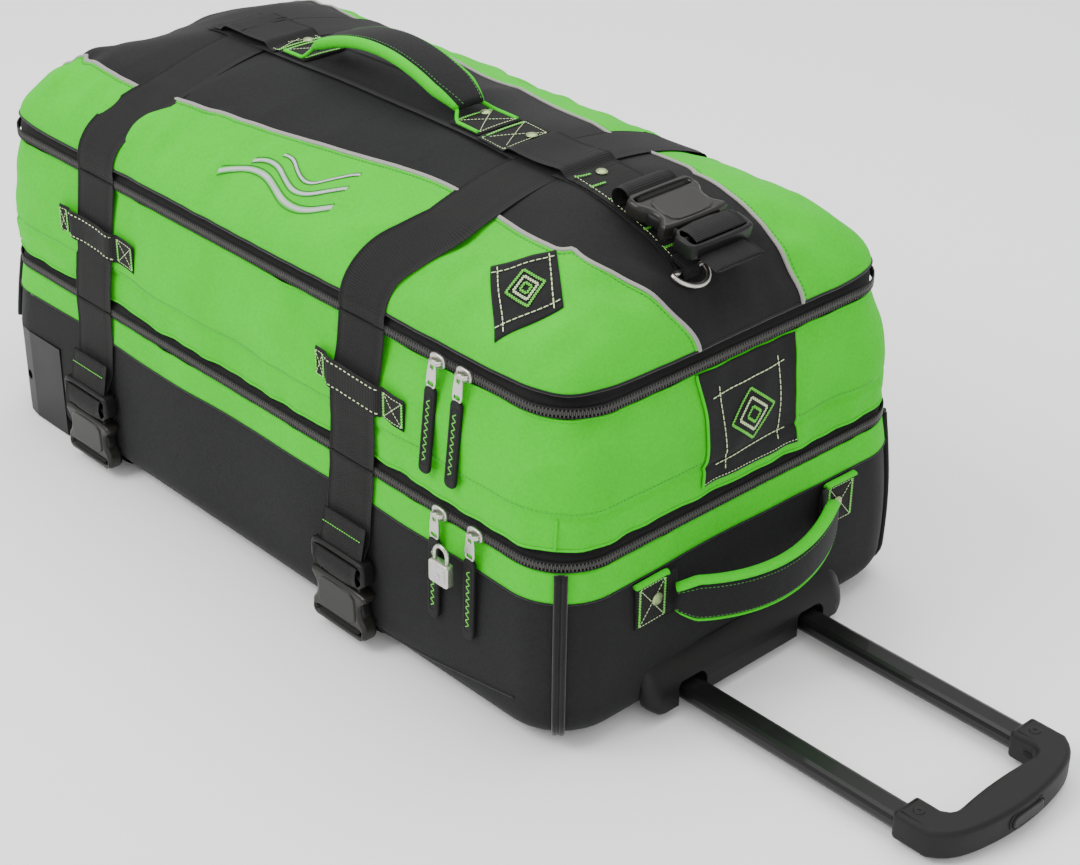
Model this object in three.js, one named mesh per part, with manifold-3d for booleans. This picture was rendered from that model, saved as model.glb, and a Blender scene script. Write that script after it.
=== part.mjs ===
// A large two-level rolling travel bag, lying on its back with the pull handle partly drawn out.
// Millimetres, +Z up. +X runs to the pull-handle end, -Y is the side that opens, +Y the hinge side.
// The origin is the middle of the plane that the skids and wheels rest on.
import * as THREE from 'three';
import { mergeVertices } from 'three/addons/utils/BufferGeometryUtils.js';
import Module from 'manifold-3d';

// Overall size of the bag's body.
const BODY_LENGTH = 704;
const BODY_WIDTH = 370;
const CORNER_R = 43;
const WALL = 4;
const GAP = 0.3;

// Heights of the two zips, the green band and the lid's crown above the rest plane.
const LOWER_ZIP_Z = 148;
const UPPER_ZIP_Z = 257;
const BAND_WIDTH = 22;
const TAPE_BELOW = 5;
const TAPE_ABOVE = 12;
const TAPE_THICK = 2;
const LID_CROWN = 73;
const LID_FALL = 164;
const LID_POWER = 0.6;

// How far the walls stand in from the body's full length and width at each zip.
const LOWER_ZIP_INSET = 6;
const UPPER_ZIP_INSET_X = 8;
const UPPER_SHIFT = -8;
const UPPER_ZIP_INSET_Y = 19;
const WALL_BULGE = 4;

// Back of the bag: skids, floor, trolley tubes and the stiffening board over them.
const SKID_HEIGHT = 2.5;
const SKID_WIDTH = 14;
const SKID_Y = 112;
const FLOOR_THICK = 2.7;
const BOTTOM_R = 24;
const TUBE_W = 20;
const TUBE_H = 12.4;
const TUBE_WALL = 1.4;
const TUBE_Y = 63.5;
const TUBE_SLIP = 0.4;
const BOARD_THICK = 3;

// Trolley: where the grip stands at rest, and how it travels.
const GRIP_X = 556;
const GRIP_DEPTH = 40;
const GRIP_BOW = 14;
const GRIP_HEIGHT = 24;
const GRIP_OVERHANG = 13;
const TUBE_REAR_X = -125;
const HOUSING_HALF = 105;
const HOUSING_TOP = 41;
const HOUSING_DEPTH = 13;
const BUTTON_W = 34;
const BUTTON_H = 10;
const BUTTON_TRAVEL = 4;

// Wheels.
const WHEEL_R = 38;
const WHEEL_W = 24;
const WHEEL_Y = 148;
const WHEEL_PROUD = 4;
const AXLE_R = 4;
const WHEEL_SLACK = 2.5;
const CHEEK_OUT = 7;
const CHEEK_IN = 8;
const HOUSING_LONG = 90;
const HOUSING_TALL = 84;

// Webbing straps and what is on them.
const WEB = 50;
const WEB_THICK = 2;
const STRAP_CLEAR = 1;
const FRONT_STRAP_X = 130;
const REAR_STRAP_X = -204;
const FRONT_STRAP_TOP_X = 158;
const REAR_STRAP_TOP_X = -184;
const STRAP_DRIFT = 60;
const KEEPER_W = 25;
const KEEPER_SPAN = 100;
const KEEPER_SHIFT = 6;
const KEEPER_Z = 208;
const KEEPER_THICK = 1.6;
const BUCKLE_RIM = 6;
const BUCKLE_THICK = 15;
const SOCKET_LONG = 44;
const LATCH_LONG = 26;
const PRONG_LONG = 26;
const SOCKET_Z = 8;

// Webbing line along the top and its handle.
const TOP_Y = -6;
const TAB_LONG = 27;
const TAB_THICK = 2.4;
const HANDLE_W = 44;
const HANDLE_THICK = 6;
const HANDLE_REAR_X = -108;
const HANDLE_FRONT_X = 62;
const HANDLE_FOOT = 11;
const HANDLE_TAB_GAP = 4;
const HANDLE_RISE = 25;
const HANDLE_NECK = 8;
const BELT_RISE = 5.2;
const BELT_LAND = 10;
const BELT_TAIL_FRONT = 32;
const BELT_TAIL_REAR = 16;
const TOP_STRAP_X = 202;
const TOP_STRAP_END = 298;
const TOP_SOCKET_X = 250;
const TOP_TILT = 13;
const TOP_BUCKLE_CLEAR = 6.5;
const D_RING_X = 304;
const D_RING_Y = -24;
const D_RING_R = 15;
const D_WIRE_R = 2;
const D_LIFT = 12.6;

// Haul handle on the front end.
const HAUL_HALF = 84;
const HAUL_TAB_W = 30;
const HAUL_TAB_H = 37;
const HAUL_Z = 100;
const HAUL_BAND = 34;
const HAUL_THICK = 5;
const HAUL_OUT = 25;
const HAUL_FOOT = 8;
const HAUL_DROOP = 8;

// Zip sliders, their pulls and the padlock.
const SLIDER_LONG = 15;
const SLIDER_W = 11;
const SLIDER_THICK = 7;
const UPPER_SLIDERS_X = [213, 240];
const LOWER_SLIDERS_X = [228, 265];
const PULL_LONG = 86;
const PULL_W = 11;
const PULL_THICK = 3;
const PULL_STANDOFF = 3.6;
const PULL_ABOVE = 3;
const UPPER_PULL_TILT = 6.5;
const LOWER_PULL_TILT = 1.5;
const LOCK_W = 20;
const LOCK_CLEAR = 4;
const LOCK_H = 18;
const LOCK_THICK = 7;
const SHACKLE_R = 6.5;
const SHACKLE_WIRE = 1.6;

// Places worked out from the sizes above.
const HALF_X = BODY_LENGTH / 2;
const HALF_Y = BODY_WIDTH / 2;
const FLOOR_Z = SKID_HEIGHT + GAP;
const SHELL_TOP = LOWER_ZIP_Z - TAPE_BELOW;
const TUBE_Z = FLOOR_Z + FLOOR_THICK + GAP + TUBE_H / 2 + TUBE_SLIP + TUBE_WALL;
const GUIDE_W = TUBE_W + 2 * (TUBE_SLIP + TUBE_WALL);
const GUIDE_H = TUBE_H + 2 * (TUBE_SLIP + TUBE_WALL);
const BOARD_Z = TUBE_Z + GUIDE_H / 2 + GAP;
const LOWER_A = HALF_X - LOWER_ZIP_INSET;
const LOWER_B = HALF_Y - LOWER_ZIP_INSET;
const UPPER_A = HALF_X - UPPER_ZIP_INSET_X;
const UPPER_B = HALF_Y - UPPER_ZIP_INSET_Y;
const LID_RIM = UPPER_ZIP_Z + TAPE_ABOVE;
const WHEEL_X = -HALF_X + WHEEL_R - WHEEL_PROUD;
const BORE_R = AXLE_R + 0.4;
const BUCKLE_W = WEB + 2 * BUCKLE_RIM;

const wasm = await Module();
wasm.setup();
const bag = new THREE.Group();

// ---------------------------------------------------------------- materials

const finish = (color, roughness, metalness = 0) =>
  new THREE.MeshStandardMaterial({ color, roughness, metalness });
const greenCloth = () => finish(0x62c63f, 0.75);
const blackCloth = () => finish(0x343332, 0.8);
const webbing = () => finish(0x2b2a2a, 0.7);
const plastic = () => finish(0x45443f, 0.45);
const darkMetal = () => finish(0x151515, 0.3, 0.8);
const nickel = () => finish(0xb9b6b0, 0.3, 1);
const rubber = () => finish(0x222222, 0.85);

// ---------------------------------------------------------------- solids

function add(name, geometry, material) {
  const mesh = new THREE.Mesh(geometry, material);
  mesh.name = name;
  bag.add(mesh);
  return mesh;
}

function fromTriangles(points, triangles) {
  const geometry = new THREE.BufferGeometry();
  geometry.setAttribute('position', new THREE.Float32BufferAttribute(points.flat(), 3));
  geometry.setIndex(triangles.flat());
  return geometry;
}

// A level loop of a rounded rectangle with half sizes a and b, counter-clockwise seen from above.
function loopAt(a, b, r, z, steps = 5) {
  const points = [];
  const radius = Math.min(r, a, b);
  for (let corner = 0; corner < 4; corner += 1) {
    const sx = corner === 0 || corner === 3 ? 1 : -1;
    const sy = corner < 2 ? 1 : -1;
    for (let i = 0; i <= steps; i += 1) {
      const angle = (corner + i / steps) * Math.PI / 2;
      points.push([
        sx * (a - radius) + radius * Math.cos(angle),
        sy * (b - radius) + radius * Math.sin(angle),
        z,
      ]);
    }
  }
  return points;
}

function wallTriangles(loopCount, size, closed) {
  const triangles = [];
  const last = closed ? loopCount : loopCount - 1;
  for (let k = 0; k < last; k += 1) {
    const low = k * size;
    const high = ((k + 1) % loopCount) * size;
    for (let i = 0; i < size; i += 1) {
      const j = (i + 1) % size;
      triangles.push([low + i, low + j, high + j], [low + i, high + j, high + i]);
    }
  }
  return triangles;
}

// Loops joined in order, with a flat cap on the first and the last.
function loft(loops) {
  const size = loops[0].length;
  const triangles = wallTriangles(loops.length, size, false);
  const end = (loops.length - 1) * size;
  for (let i = 1; i < size - 1; i += 1) {
    triangles.push([0, i + 1, i], [end, end + i, end + i + 1]);
  }
  return fromTriangles(loops.flat(), triangles);
}

// Loops joined in order and back to the first, for a ring with no caps.
function ring(loops) {
  return fromTriangles(loops.flat(), wallTriangles(loops.length, loops[0].length, true));
}

// Outlines are [u, v] pairs. Each of these sweeps one along a single axis.
function outlineShape(outline) {
  return new THREE.Shape(outline.map(([u, v]) => new THREE.Vector2(u, v)));
}

function sweep(outline, from, to, basis, holes = []) {
  const shape = outlineShape(outline);
  holes.forEach((hole) => shape.holes.push(outlineShape(hole)));
  const geometry = new THREE.ExtrudeGeometry(shape, { depth: to - from, bevelEnabled: false });
  geometry.translate(0, 0, from);
  geometry.applyMatrix4(basis);
  return geometry;
}

const axis = (x, y, z) => new THREE.Vector3(x, y, z);
const BASIS_YZ = new THREE.Matrix4().makeBasis(axis(0, 1, 0), axis(0, 0, 1), axis(1, 0, 0));
const BASIS_XZ = new THREE.Matrix4().makeBasis(axis(1, 0, 0), axis(0, 0, 1), axis(0, -1, 0));
const BASIS_XY = new THREE.Matrix4();
const alongX = (outline, x0, x1, holes) => sweep(outline, x0, x1, BASIS_YZ, holes);
const alongY = (outline, y0, y1, holes) => sweep(outline, -y1, -y0, BASIS_XZ, holes);
const alongZ = (outline, z0, z1, holes) => sweep(outline, z0, z1, BASIS_XY, holes);

function box(x0, x1, y0, y1, z0, z1) {
  const geometry = new THREE.BoxGeometry(x1 - x0, y1 - y0, z1 - z0);
  return geometry.translate((x0 + x1) / 2, (y0 + y1) / 2, (z0 + z1) / 2);
}

function rodY(r, x, z, y0, y1, sides = 24) {
  const geometry = new THREE.CylinderGeometry(r, r, y1 - y0, sides);
  return geometry.translate(x, (y0 + y1) / 2, z);
}

// A rounded rectangle outline around (u, v).
function plate(u, v, halfU, halfV, r, steps = 3) {
  return loopAt(halfU, halfV, r, 0, steps).map(([x, y]) => [x + u, y + v]);
}

// Unit direction of each of a path's segments.
function segments(path) {
  return path.slice(1).map(([u, v], i) => {
    const length = Math.hypot(u - path[i][0], v - path[i][1]);
    return [(u - path[i][0]) / length, (v - path[i][1]) / length];
  });
}

// A strip of the given thickness laid on the left of a path of [u, v] points, mitred at its bends.
function strip(path, clear, thick) {
  const runs = segments(path);
  const side = (distance) => path.map(([u, v], i) => {
    const [du0, dv0] = runs[Math.max(i - 1, 0)];
    const [du1, dv1] = runs[Math.min(i, runs.length - 1)];
    const reach = distance / (1 + du0 * du1 + dv0 * dv1);
    return [u - (dv0 + dv1) * reach, v + (du0 + du1) * reach];
  });
  return [...side(clear), ...side(clear + thick).reverse()];
}

function toManifold(geometry) {
  const bare = geometry.clone();
  bare.deleteAttribute('normal');
  bare.deleteAttribute('uv');
  const merged = mergeVertices(bare, 1e-4);
  return new wasm.Manifold(new wasm.Mesh({
    numProp: 3,
    vertProperties: new Float32Array(merged.attributes.position.array),
    triVerts: new Uint32Array(merged.index.array),
  }));
}

function fromManifold(solid) {
  const mesh = solid.getMesh();
  const geometry = new THREE.BufferGeometry();
  geometry.setAttribute('position', new THREE.BufferAttribute(mesh.vertProperties, 3));
  geometry.setIndex(new THREE.BufferAttribute(mesh.triVerts, 1));
  return geometry;
}

function cut(body, ...tools) {
  let solid = toManifold(body);
  for (const tool of tools) {
    solid = solid.subtract(toManifold(tool));
  }
  return fromManifold(solid);
}

function join(...parts) {
  let solid = toManifold(parts[0]);
  for (const part of parts.slice(1)) {
    solid = solid.add(toManifold(part));
  }
  return fromManifold(solid);
}

// ---------------------------------------------------------------- the lid's surface

// The lid falls from its crown to its rim over LID_FALL, round a rectangle with squarish corners.
const CORNER_POWER = 8;

function edgeNorm(u, v) {
  return (u ** CORNER_POWER + v ** CORNER_POWER) ** (1 / CORNER_POWER);
}

const lidRise = (reach) => LID_CROWN * (1 - Math.min(reach, 1) ** 2) ** LID_POWER;

function lidTop(x, y) {
  const u = Math.max(1 - (UPPER_A - Math.abs(x - UPPER_SHIFT)) / LID_FALL, 0);
  const v = Math.max(1 - (UPPER_B - Math.abs(y)) / LID_FALL, 0);
  return LID_RIM + lidRise(edgeNorm(u, v));
}

// Highest point of the lid's surface under a strap that is centred on x.
function lidTopUnder(x, y, half = WEB / 2) {
  return Math.max(...[-1, -0.5, 0, 0.5, 1].map((k) => lidTop(x + k * half, y)));
}

// Level loops of the lid's face, each reaching a share of the way from the crown to the rim.
function lidLoops(inset, reaches) {
  const bearings = [0, 20, 34, 40, 45, 50, 56, 70, 90].map((degrees) => degrees * Math.PI / 180);
  return reaches.map((reach) => {
    const z = Math.max(LID_RIM + lidRise(reach) - inset, LID_RIM + GAP);
    const points = [];
    for (let corner = 0; corner < 4; corner += 1) {
      const sx = corner === 0 || corner === 3 ? 1 : -1;
      const sy = corner < 2 ? 1 : -1;
      const order = corner % 2 === 0 ? bearings : bearings.slice().reverse();
      for (const bearing of order) {
        const u = Math.cos(bearing);
        const v = Math.sin(bearing);
        const scale = reach * (LID_FALL - inset) / edgeNorm(u, v);
        const x = sx * (UPPER_A - LID_FALL + u * scale);
        points.push([x + UPPER_SHIFT, sy * (UPPER_B - LID_FALL + v * scale), z]);
      }
    }
    return points;
  });
}

// ---------------------------------------------------------------- soft shells

// A loop of the lower compartment's wall: the outline stands in by `inset`, the face by `depth` more.
function lowerLoop([z, inset, depth = 0]) {
  const whole = inset + depth;
  const r = inset > LOWER_ZIP_INSET ? CORNER_R - inset / 2 - depth : CORNER_R - depth;
  return loopAt(HALF_X - whole, HALF_Y - whole, r, z);
}

function lowerShell() {
  const bandZ = SHELL_TOP - BAND_WIDTH;
  const step = TAPE_THICK + GAP;
  const foot = LOWER_ZIP_INSET * 0.6;
  const shell = loft([
    [FLOOR_Z, BOTTOM_R],
    [FLOOR_Z + BOTTOM_R * 0.13, BOTTOM_R * 0.5],
    [FLOOR_Z + BOTTOM_R * 0.5, BOTTOM_R * 0.13],
    [FLOOR_Z + BOTTOM_R, 0],
    [bandZ - GAP, foot],
    [bandZ - GAP, foot, step],
    [SHELL_TOP - GAP, LOWER_ZIP_INSET, step],
    [SHELL_TOP - GAP, LOWER_ZIP_INSET, step + WALL],
    [bandZ, LOWER_ZIP_INSET, step + WALL],
    [FLOOR_Z + BOTTOM_R, 0, WALL],
    [FLOOR_Z + BOTTOM_R * 0.5, BOTTOM_R * 0.16, WALL],
    [FLOOR_Z + FLOOR_THICK, BOTTOM_R * 0.6, WALL],
  ].map(lowerLoop));
  const tubePort = (side) => box(
    HALF_X - BOTTOM_R - 20, HALF_X + 1,
    side * TUBE_Y - GUIDE_W / 2 - GAP, side * TUBE_Y + GUIDE_W / 2 + GAP,
    TUBE_Z - GUIDE_H / 2 - GAP, TUBE_Z + GUIDE_H / 2 + GAP,
  );
  const wheelPort = (side) => {
    const near = WHEEL_Y - WHEEL_W / 2 - WHEEL_SLACK - CHEEK_IN - GAP;
    const ends = [side * near, side * (HALF_Y + 2)].sort((p, q) => p - q);
    return box(-HALF_X - 2, -HALF_X + HOUSING_LONG + GAP, ...ends, 0, HOUSING_TALL + GAP);
  };
  add('lower_shell', cut(shell, tubePort(-1), tubePort(1), wheelPort(-1), wheelPort(1)), blackCloth());
}

// A band sewn round the outside between two heights.
function hoop(z0, z1, a0, b0, a1, b1, thick, r = CORNER_R) {
  return ring([
    loopAt(a0, b0, r, z0),
    loopAt(a1, b1, r, z1),
    loopAt(a1 - thick, b1 - thick, r - thick, z1),
    loopAt(a0 - thick, b0 - thick, r - thick, z0),
  ]);
}

function lowerTrim() {
  const bandZ = SHELL_TOP - BAND_WIDTH;
  const foot = LOWER_ZIP_INSET * 0.6;
  add('lower_band', hoop(
    bandZ, SHELL_TOP - GAP, HALF_X - foot, HALF_Y - foot, LOWER_A, LOWER_B, TAPE_THICK,
  ), greenCloth());
  add('lower_zip_base_tape', hoop(
    SHELL_TOP, LOWER_ZIP_Z - GAP / 2, LOWER_A, LOWER_B, LOWER_A, LOWER_B, TAPE_THICK + WALL,
  ), webbing());
}

function middleShell() {
  const z0 = LOWER_ZIP_Z + TAPE_ABOVE;
  const z1 = UPPER_ZIP_Z - TAPE_ABOVE + TAPE_BELOW;
  const levels = [0, 0.2, 0.5, 0.8, 1];
  const wall = (inset) => levels.map((k) => {
    const bulge = WALL_BULGE * Math.sin(Math.PI * k) - inset;
    const a = LOWER_A + (UPPER_A - LOWER_A) * k + bulge;
    const b = LOWER_B + (UPPER_B - LOWER_B) * k + bulge;
    const loop = loopAt(a, b, CORNER_R - inset, z0 + GAP + (z1 - z0 - 2 * GAP) * k);
    return loop.map(([x, y, z]) => [x + UPPER_SHIFT * k, y, z]);
  });
  add('middle_gusset', ring([...wall(0), ...wall(WALL).reverse()]), greenCloth());
  add('lower_zip_middle_tape', hoop(
    LOWER_ZIP_Z + GAP / 2, z0, LOWER_A, LOWER_B, LOWER_A, LOWER_B, TAPE_THICK + WALL,
  ), webbing());
  add('upper_zip_middle_tape', hoop(
    z1, UPPER_ZIP_Z - GAP / 2, UPPER_A, UPPER_B, UPPER_A, UPPER_B, TAPE_THICK + WALL,
  ).translate(UPPER_SHIFT, 0, 0), webbing());
}

function divider() {
  const edge = WALL + GAP;
  const z0 = LOWER_ZIP_Z + TAPE_ABOVE + 1;
  const loop = (z) => loopAt(LOWER_A - edge - 1, LOWER_B - edge - 1, CORNER_R - edge, z);
  add('divider_panel', loft([loop(z0), loop(z0 + BOARD_THICK)]), blackCloth());
}

// The lid is one dome-shaped sheet: up the outside to its middle, then back down the inside.
function lidShell() {
  const reaches = [1, 0.993, 0.97, 0.92, 0.84, 0.72, 0.55, 0.35, 0.1];
  const outer = lidLoops(0, reaches);
  const inner = lidLoops(WALL, reaches);
  const size = outer[0].length;
  const loops = [...inner.slice().reverse(), ...outer];
  const triangles = wallTriangles(loops.length, size, false);
  const end = (loops.length - 1) * size;
  for (let i = 1; i < size - 1; i += 1) {
    triangles.push([0, i + 1, i], [end, end + i, end + i + 1]);
  }
  add('lid_shell', fromTriangles(loops.flat(), triangles), greenCloth());
  add('upper_zip_lid_tape', hoop(
    UPPER_ZIP_Z + GAP / 2, LID_RIM, UPPER_A, UPPER_B, UPPER_A, UPPER_B, TAPE_THICK + WALL,
  ).translate(UPPER_SHIFT, 0, 0), webbing());
}

// ---------------------------------------------------------------- back of the bag

function skids() {
  const rail = (y) => alongZ(plate(0, y, HALF_X - 62, SKID_WIDTH / 2, SKID_WIDTH / 2), 0, SKID_HEIGHT);
  add('skid_right', rail(-SKID_Y), rubber());
  add('skid_middle', rail(0), rubber());
  add('skid_left', rail(SKID_Y), rubber());
}

function trolleyTube(name, y, x0, x1, grow, material) {
  const halfW = TUBE_W / 2 + grow;
  const halfH = TUBE_H / 2 + grow;
  const outer = plate(y, TUBE_Z, halfW, halfH, 4 + grow, 2);
  const inner = plate(y, TUBE_Z, halfW - TUBE_WALL, halfH - TUBE_WALL, 3 + grow, 2);
  add(name, alongX(outer, x0, x1, [inner]), material);
}

function trolley() {
  const guideGrow = TUBE_SLIP + TUBE_WALL;
  for (const [side, name] of [[-1, 'right'], [1, 'left']]) {
    const y = side * TUBE_Y;
    trolleyTube(`guide_tube_${name}`, y, 30 - HALF_X, HALF_X, guideGrow, finish(0xa8a9ab, 0.4, 1));
    trolleyTube(`pull_tube_${name}`, y, TUBE_REAR_X, GRIP_X + 20, 0, darkMetal());
  }
  const inside = WALL + BOTTOM_R * 0.5;
  const a = HALF_X - inside;
  const b = HALF_Y - inside;
  const board = alongZ(plate(0, 0, a, b, CORNER_R - inside, 4), BOARD_Z, BOARD_Z + BOARD_THICK);
  const reach = HOUSING_LONG + GAP;
  const near = WHEEL_Y - WHEEL_W / 2 - WHEEL_SLACK - CHEEK_IN - GAP;
  const corner = (y0, y1) => box(-HALF_X, -HALF_X + reach, y0, y1, BOARD_Z - 1, BOARD_Z + BOARD_THICK + 1);
  add('back_board', cut(board, corner(near, HALF_Y), corner(-HALF_Y, -near)), finish(0x8a7f6d, 0.8));
}

// Sections [x, half width, low z, high z] of a block that stands on the front wall.
function blockOnFront(sections, r) {
  return loft(sections.map(([x, half, z0, z1]) => (
    loopAt(half, (z1 - z0) / 2, r, 0, 3).map(([y, z]) => [x, y, z + (z0 + z1) / 2])
  )));
}

function trolleyHousing() {
  const x = HALF_X + GAP;
  const body = blockOnFront([
    [x, HOUSING_HALF, 6, HOUSING_TOP],
    [x + HOUSING_DEPTH * 0.45, HOUSING_HALF - 1, 5.5, HOUSING_TOP - 6],
    [x + HOUSING_DEPTH * 0.85, HOUSING_HALF - 4, 5, HOUSING_TOP - 17],
    [x + HOUSING_DEPTH, HOUSING_HALF - 8, 6.5, HOUSING_TOP - 24],
  ], 11);
  const port = (side) => box(
    x - 1, x + HOUSING_DEPTH + 1,
    side * TUBE_Y - GUIDE_W / 2 - 3, side * TUBE_Y + GUIDE_W / 2 + 3,
    0, TUBE_Z + GUIDE_H / 2 + 1,
  );
  add('trolley_housing', cut(body, port(-1), port(1)), plastic());
}

function gripOutline() {
  const half = TUBE_Y + GRIP_OVERHANG;
  const inner = TUBE_Y - GRIP_OVERHANG;
  const front = GRIP_X + GRIP_DEPTH;
  const outer = [];
  for (let i = 0; i <= 12; i += 1) {
    const t = -1 + i / 6;
    const round = 10 * Math.abs(t) ** 9;
    outer.push([front + GRIP_BOW * (1 - t * t) - round, t * half]);
  }
  const hollow = [];
  for (let i = 0; i <= 16; i += 1) {
    const t = Math.sin((1 - i / 8) * Math.PI / 2);
    hollow.push([front - 11 - 4 * (1 - t * t) - 9 * Math.abs(t) ** 14, t * inner]);
  }
  return [[GRIP_X, -half], ...outer, [GRIP_X, half], [GRIP_X, inner], ...hollow, [GRIP_X, -inner]];
}

function grip() {
  const z0 = TUBE_Z - GRIP_HEIGHT / 2 + 2;
  const z1 = TUBE_Z + GRIP_HEIGHT / 2 + 1;
  const socket = (side) => box(
    GRIP_X - 1, GRIP_X + 20 + GAP,
    side * TUBE_Y - TUBE_W / 2 - GAP, side * TUBE_Y + TUBE_W / 2 + GAP,
    TUBE_Z - TUBE_H / 2 - GAP, TUBE_Z + TUBE_H / 2 + GAP,
  );
  const front = GRIP_X + GRIP_DEPTH + GRIP_BOW;
  const buttonBack = front - 9;
  const slack = 0.5;
  const mid = (z0 + z1) / 2;
  const pocket = box(
    buttonBack - BUTTON_TRAVEL - 1, front + 5,
    -BUTTON_W / 2 - slack, BUTTON_W / 2 + slack,
    mid - BUTTON_H / 2 - slack, mid + BUTTON_H / 2 + slack,
  );
  const body = cut(alongZ(gripOutline(), z0, z1), socket(-1), socket(1), pocket);
  add('pull_grip', body, plastic());
  const face = plate(0, mid, BUTTON_W / 2, BUTTON_H / 2, BUTTON_H / 2 - 0.5, 3);
  add('grip_button', alongX(face, buttonBack, front + 1.5), plastic());
}

// ---------------------------------------------------------------- wheels

function wheelHousingProfile() {
  const r = WHEEL_R - 2;
  const points = [[-HALF_X + HOUSING_LONG, 1], [-HALF_X + HOUSING_LONG, HOUSING_TALL], [-HALF_X, HOUSING_TALL]];
  for (let i = 0; i <= 6; i += 1) {
    const angle = Math.PI + i / 6 * Math.PI / 2;
    points.push([-HALF_X + r + r * Math.cos(angle), 1 + r + r * Math.sin(angle)]);
  }
  return points;
}

function wheelEnd(side, name) {
  const inner = WHEEL_Y - WHEEL_W / 2 - WHEEL_SLACK - CHEEK_IN;
  const span = (y0, y1) => [side * y0, side * y1].sort((p, q) => p - q);
  const block = alongY(wheelHousingProfile(), ...span(inner, HALF_Y));
  const plan = loft([0, HOUSING_TALL + 1].map((z) => loopAt(HALF_X, HALF_Y, CORNER_R, z)));
  const wellY = WHEEL_W / 2 + WHEEL_SLACK;
  const well = rodY(WHEEL_R + 3, WHEEL_X, WHEEL_R, ...span(WHEEL_Y - wellY, WHEEL_Y + wellY), 40);
  const cheekEnd = WHEEL_Y + wellY + CHEEK_OUT;
  const bore = rodY(BORE_R, WHEEL_X, WHEEL_R, ...span(inner - 1, HALF_Y + 1));
  const shaped = toManifold(block).intersect(toManifold(plan));
  add(`wheel_housing_${name}`, cut(fromManifold(shaped), well, bore), plastic());
  add(`axle_${name}`, rodY(AXLE_R, WHEEL_X, WHEEL_R, ...span(inner, cheekEnd)), nickel());
  const half = WHEEL_W / 2;
  const section = [
    [BORE_R, -half + 1], [14, -half + 1], [16, -half + 4], [WHEEL_R - 9, -half + 4],
    [WHEEL_R - 7, -half], [WHEEL_R - 3, -half], [WHEEL_R, -half + 5], [WHEEL_R, half - 5],
    [WHEEL_R - 3, half], [WHEEL_R - 7, half], [WHEEL_R - 9, half - 4], [16, half - 4],
    [14, half - 1], [BORE_R, half - 1], [BORE_R, -half + 1],
  ].map(([r, y]) => new THREE.Vector2(r, y));
  const wheel = new THREE.LatheGeometry(section, 32);
  wheel.translate(WHEEL_X, side * WHEEL_Y, WHEEL_R);
  add(`wheel_${name}`, fromManifold(toManifold(wheel)), rubber());
}

// ---------------------------------------------------------------- straps and buckles

// Half width of the middle compartment's wall at a height.
function middleWall(z) {
  const z0 = LOWER_ZIP_Z + TAPE_ABOVE;
  const z1 = UPPER_ZIP_Z - TAPE_ABOVE + TAPE_BELOW;
  const k = Math.min(Math.max((z - z0) / (z1 - z0), 0), 1);
  return LOWER_B + (UPPER_B - LOWER_B) * k + WALL_BULGE * Math.sin(Math.PI * k);
}

function lidPath(x) {
  const rise = [0.8, 3, 7, 13, 22, 36, 56, 80, 106, 134];
  const near = rise.map((d) => [d - UPPER_B, lidTopUnder(x, UPPER_B - d)]);
  const far = near.slice().reverse().map(([y, z]) => [-y, z]);
  return [
    [-UPPER_B, UPPER_ZIP_Z + GAP / 2], [-UPPER_B, LID_RIM], ...near,
    [0, lidTopUnder(x, 0)],
    ...far, [UPPER_B, LID_RIM], [UPPER_B, UPPER_ZIP_Z + TAPE_BELOW],
  ];
}

// Moves a strap sideways as it climbs onto the lid, as the real one lies a little askew.
function drift(geometry, shift) {
  const place = geometry.attributes.position;
  for (let i = 0; i < place.count; i += 1) {
    const k = Math.min(Math.max((UPPER_B - Math.abs(place.getY(i))) / STRAP_DRIFT, 0), 1);
    place.setX(i, place.getX(i) + shift * k * k * (3 - 2 * k));
  }
  return geometry;
}

function strap(name, x, topX) {
  const over = alongX(strip(lidPath(topX), STRAP_CLEAR, WEB_THICK), x - WEB / 2, x + WEB / 2);
  add(`strap_over_${name}`, drift(over, topX - x), webbing());
  const z0 = LOWER_ZIP_Z + TAPE_ABOVE;
  const z1 = UPPER_ZIP_Z - TAPE_ABOVE + TAPE_BELOW;
  const path = [[-LOWER_B, LOWER_ZIP_Z + GAP / 2]];
  for (let i = 0; i <= 6; i += 1) {
    const z = z0 + (z1 - z0) * i / 6;
    path.push([-middleWall(z), z]);
  }
  path.push([-UPPER_B, UPPER_ZIP_Z - GAP / 2]);
  const side = alongX(strip(path, STRAP_CLEAR, WEB_THICK), x - WEB / 2, x + WEB / 2);
  add(`strap_side_${name}`, side, webbing());
  const latchTop = SOCKET_Z + SOCKET_LONG + LATCH_LONG + GAP;
  const low = [
    [-HALF_Y, latchTop + GAP], [LOWER_ZIP_INSET * 0.6 - HALF_Y, SHELL_TOP - BAND_WIDTH],
    [-LOWER_B, LOWER_ZIP_Z - GAP / 2],
  ];
  const end = alongX(strip(low, STRAP_CLEAR, WEB_THICK), x - WEB / 2, x + WEB / 2);
  add(`strap_low_${name}`, end, webbing());
}

// A low loop over the strap at strapX, with its sewn ends a little to one side of it.
function keeper(name, strapX) {
  const x = strapX + KEEPER_SHIFT;
  const half = KEEPER_SPAN / 2;
  const z0 = KEEPER_Z - KEEPER_W / 2;
  const z1 = KEEPER_Z + KEEPER_W / 2;
  const wall = Math.max(middleWall(z0), middleWall(z1), middleWall(KEEPER_Z));
  const over = STRAP_CLEAR * 2 + WEB_THICK;
  const flat = WEB / 2 + 2;
  const path = [
    [x + half, -wall], [strapX + flat + 5, -wall], [strapX + flat, -wall - over],
    [strapX - flat, -wall - over], [strapX - flat - 5, -wall], [x - half, -wall],
  ];
  add(`keeper_${name}`, alongZ(strip(path, STRAP_CLEAR, KEEPER_THICK), z0, z1), webbing());
}

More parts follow.
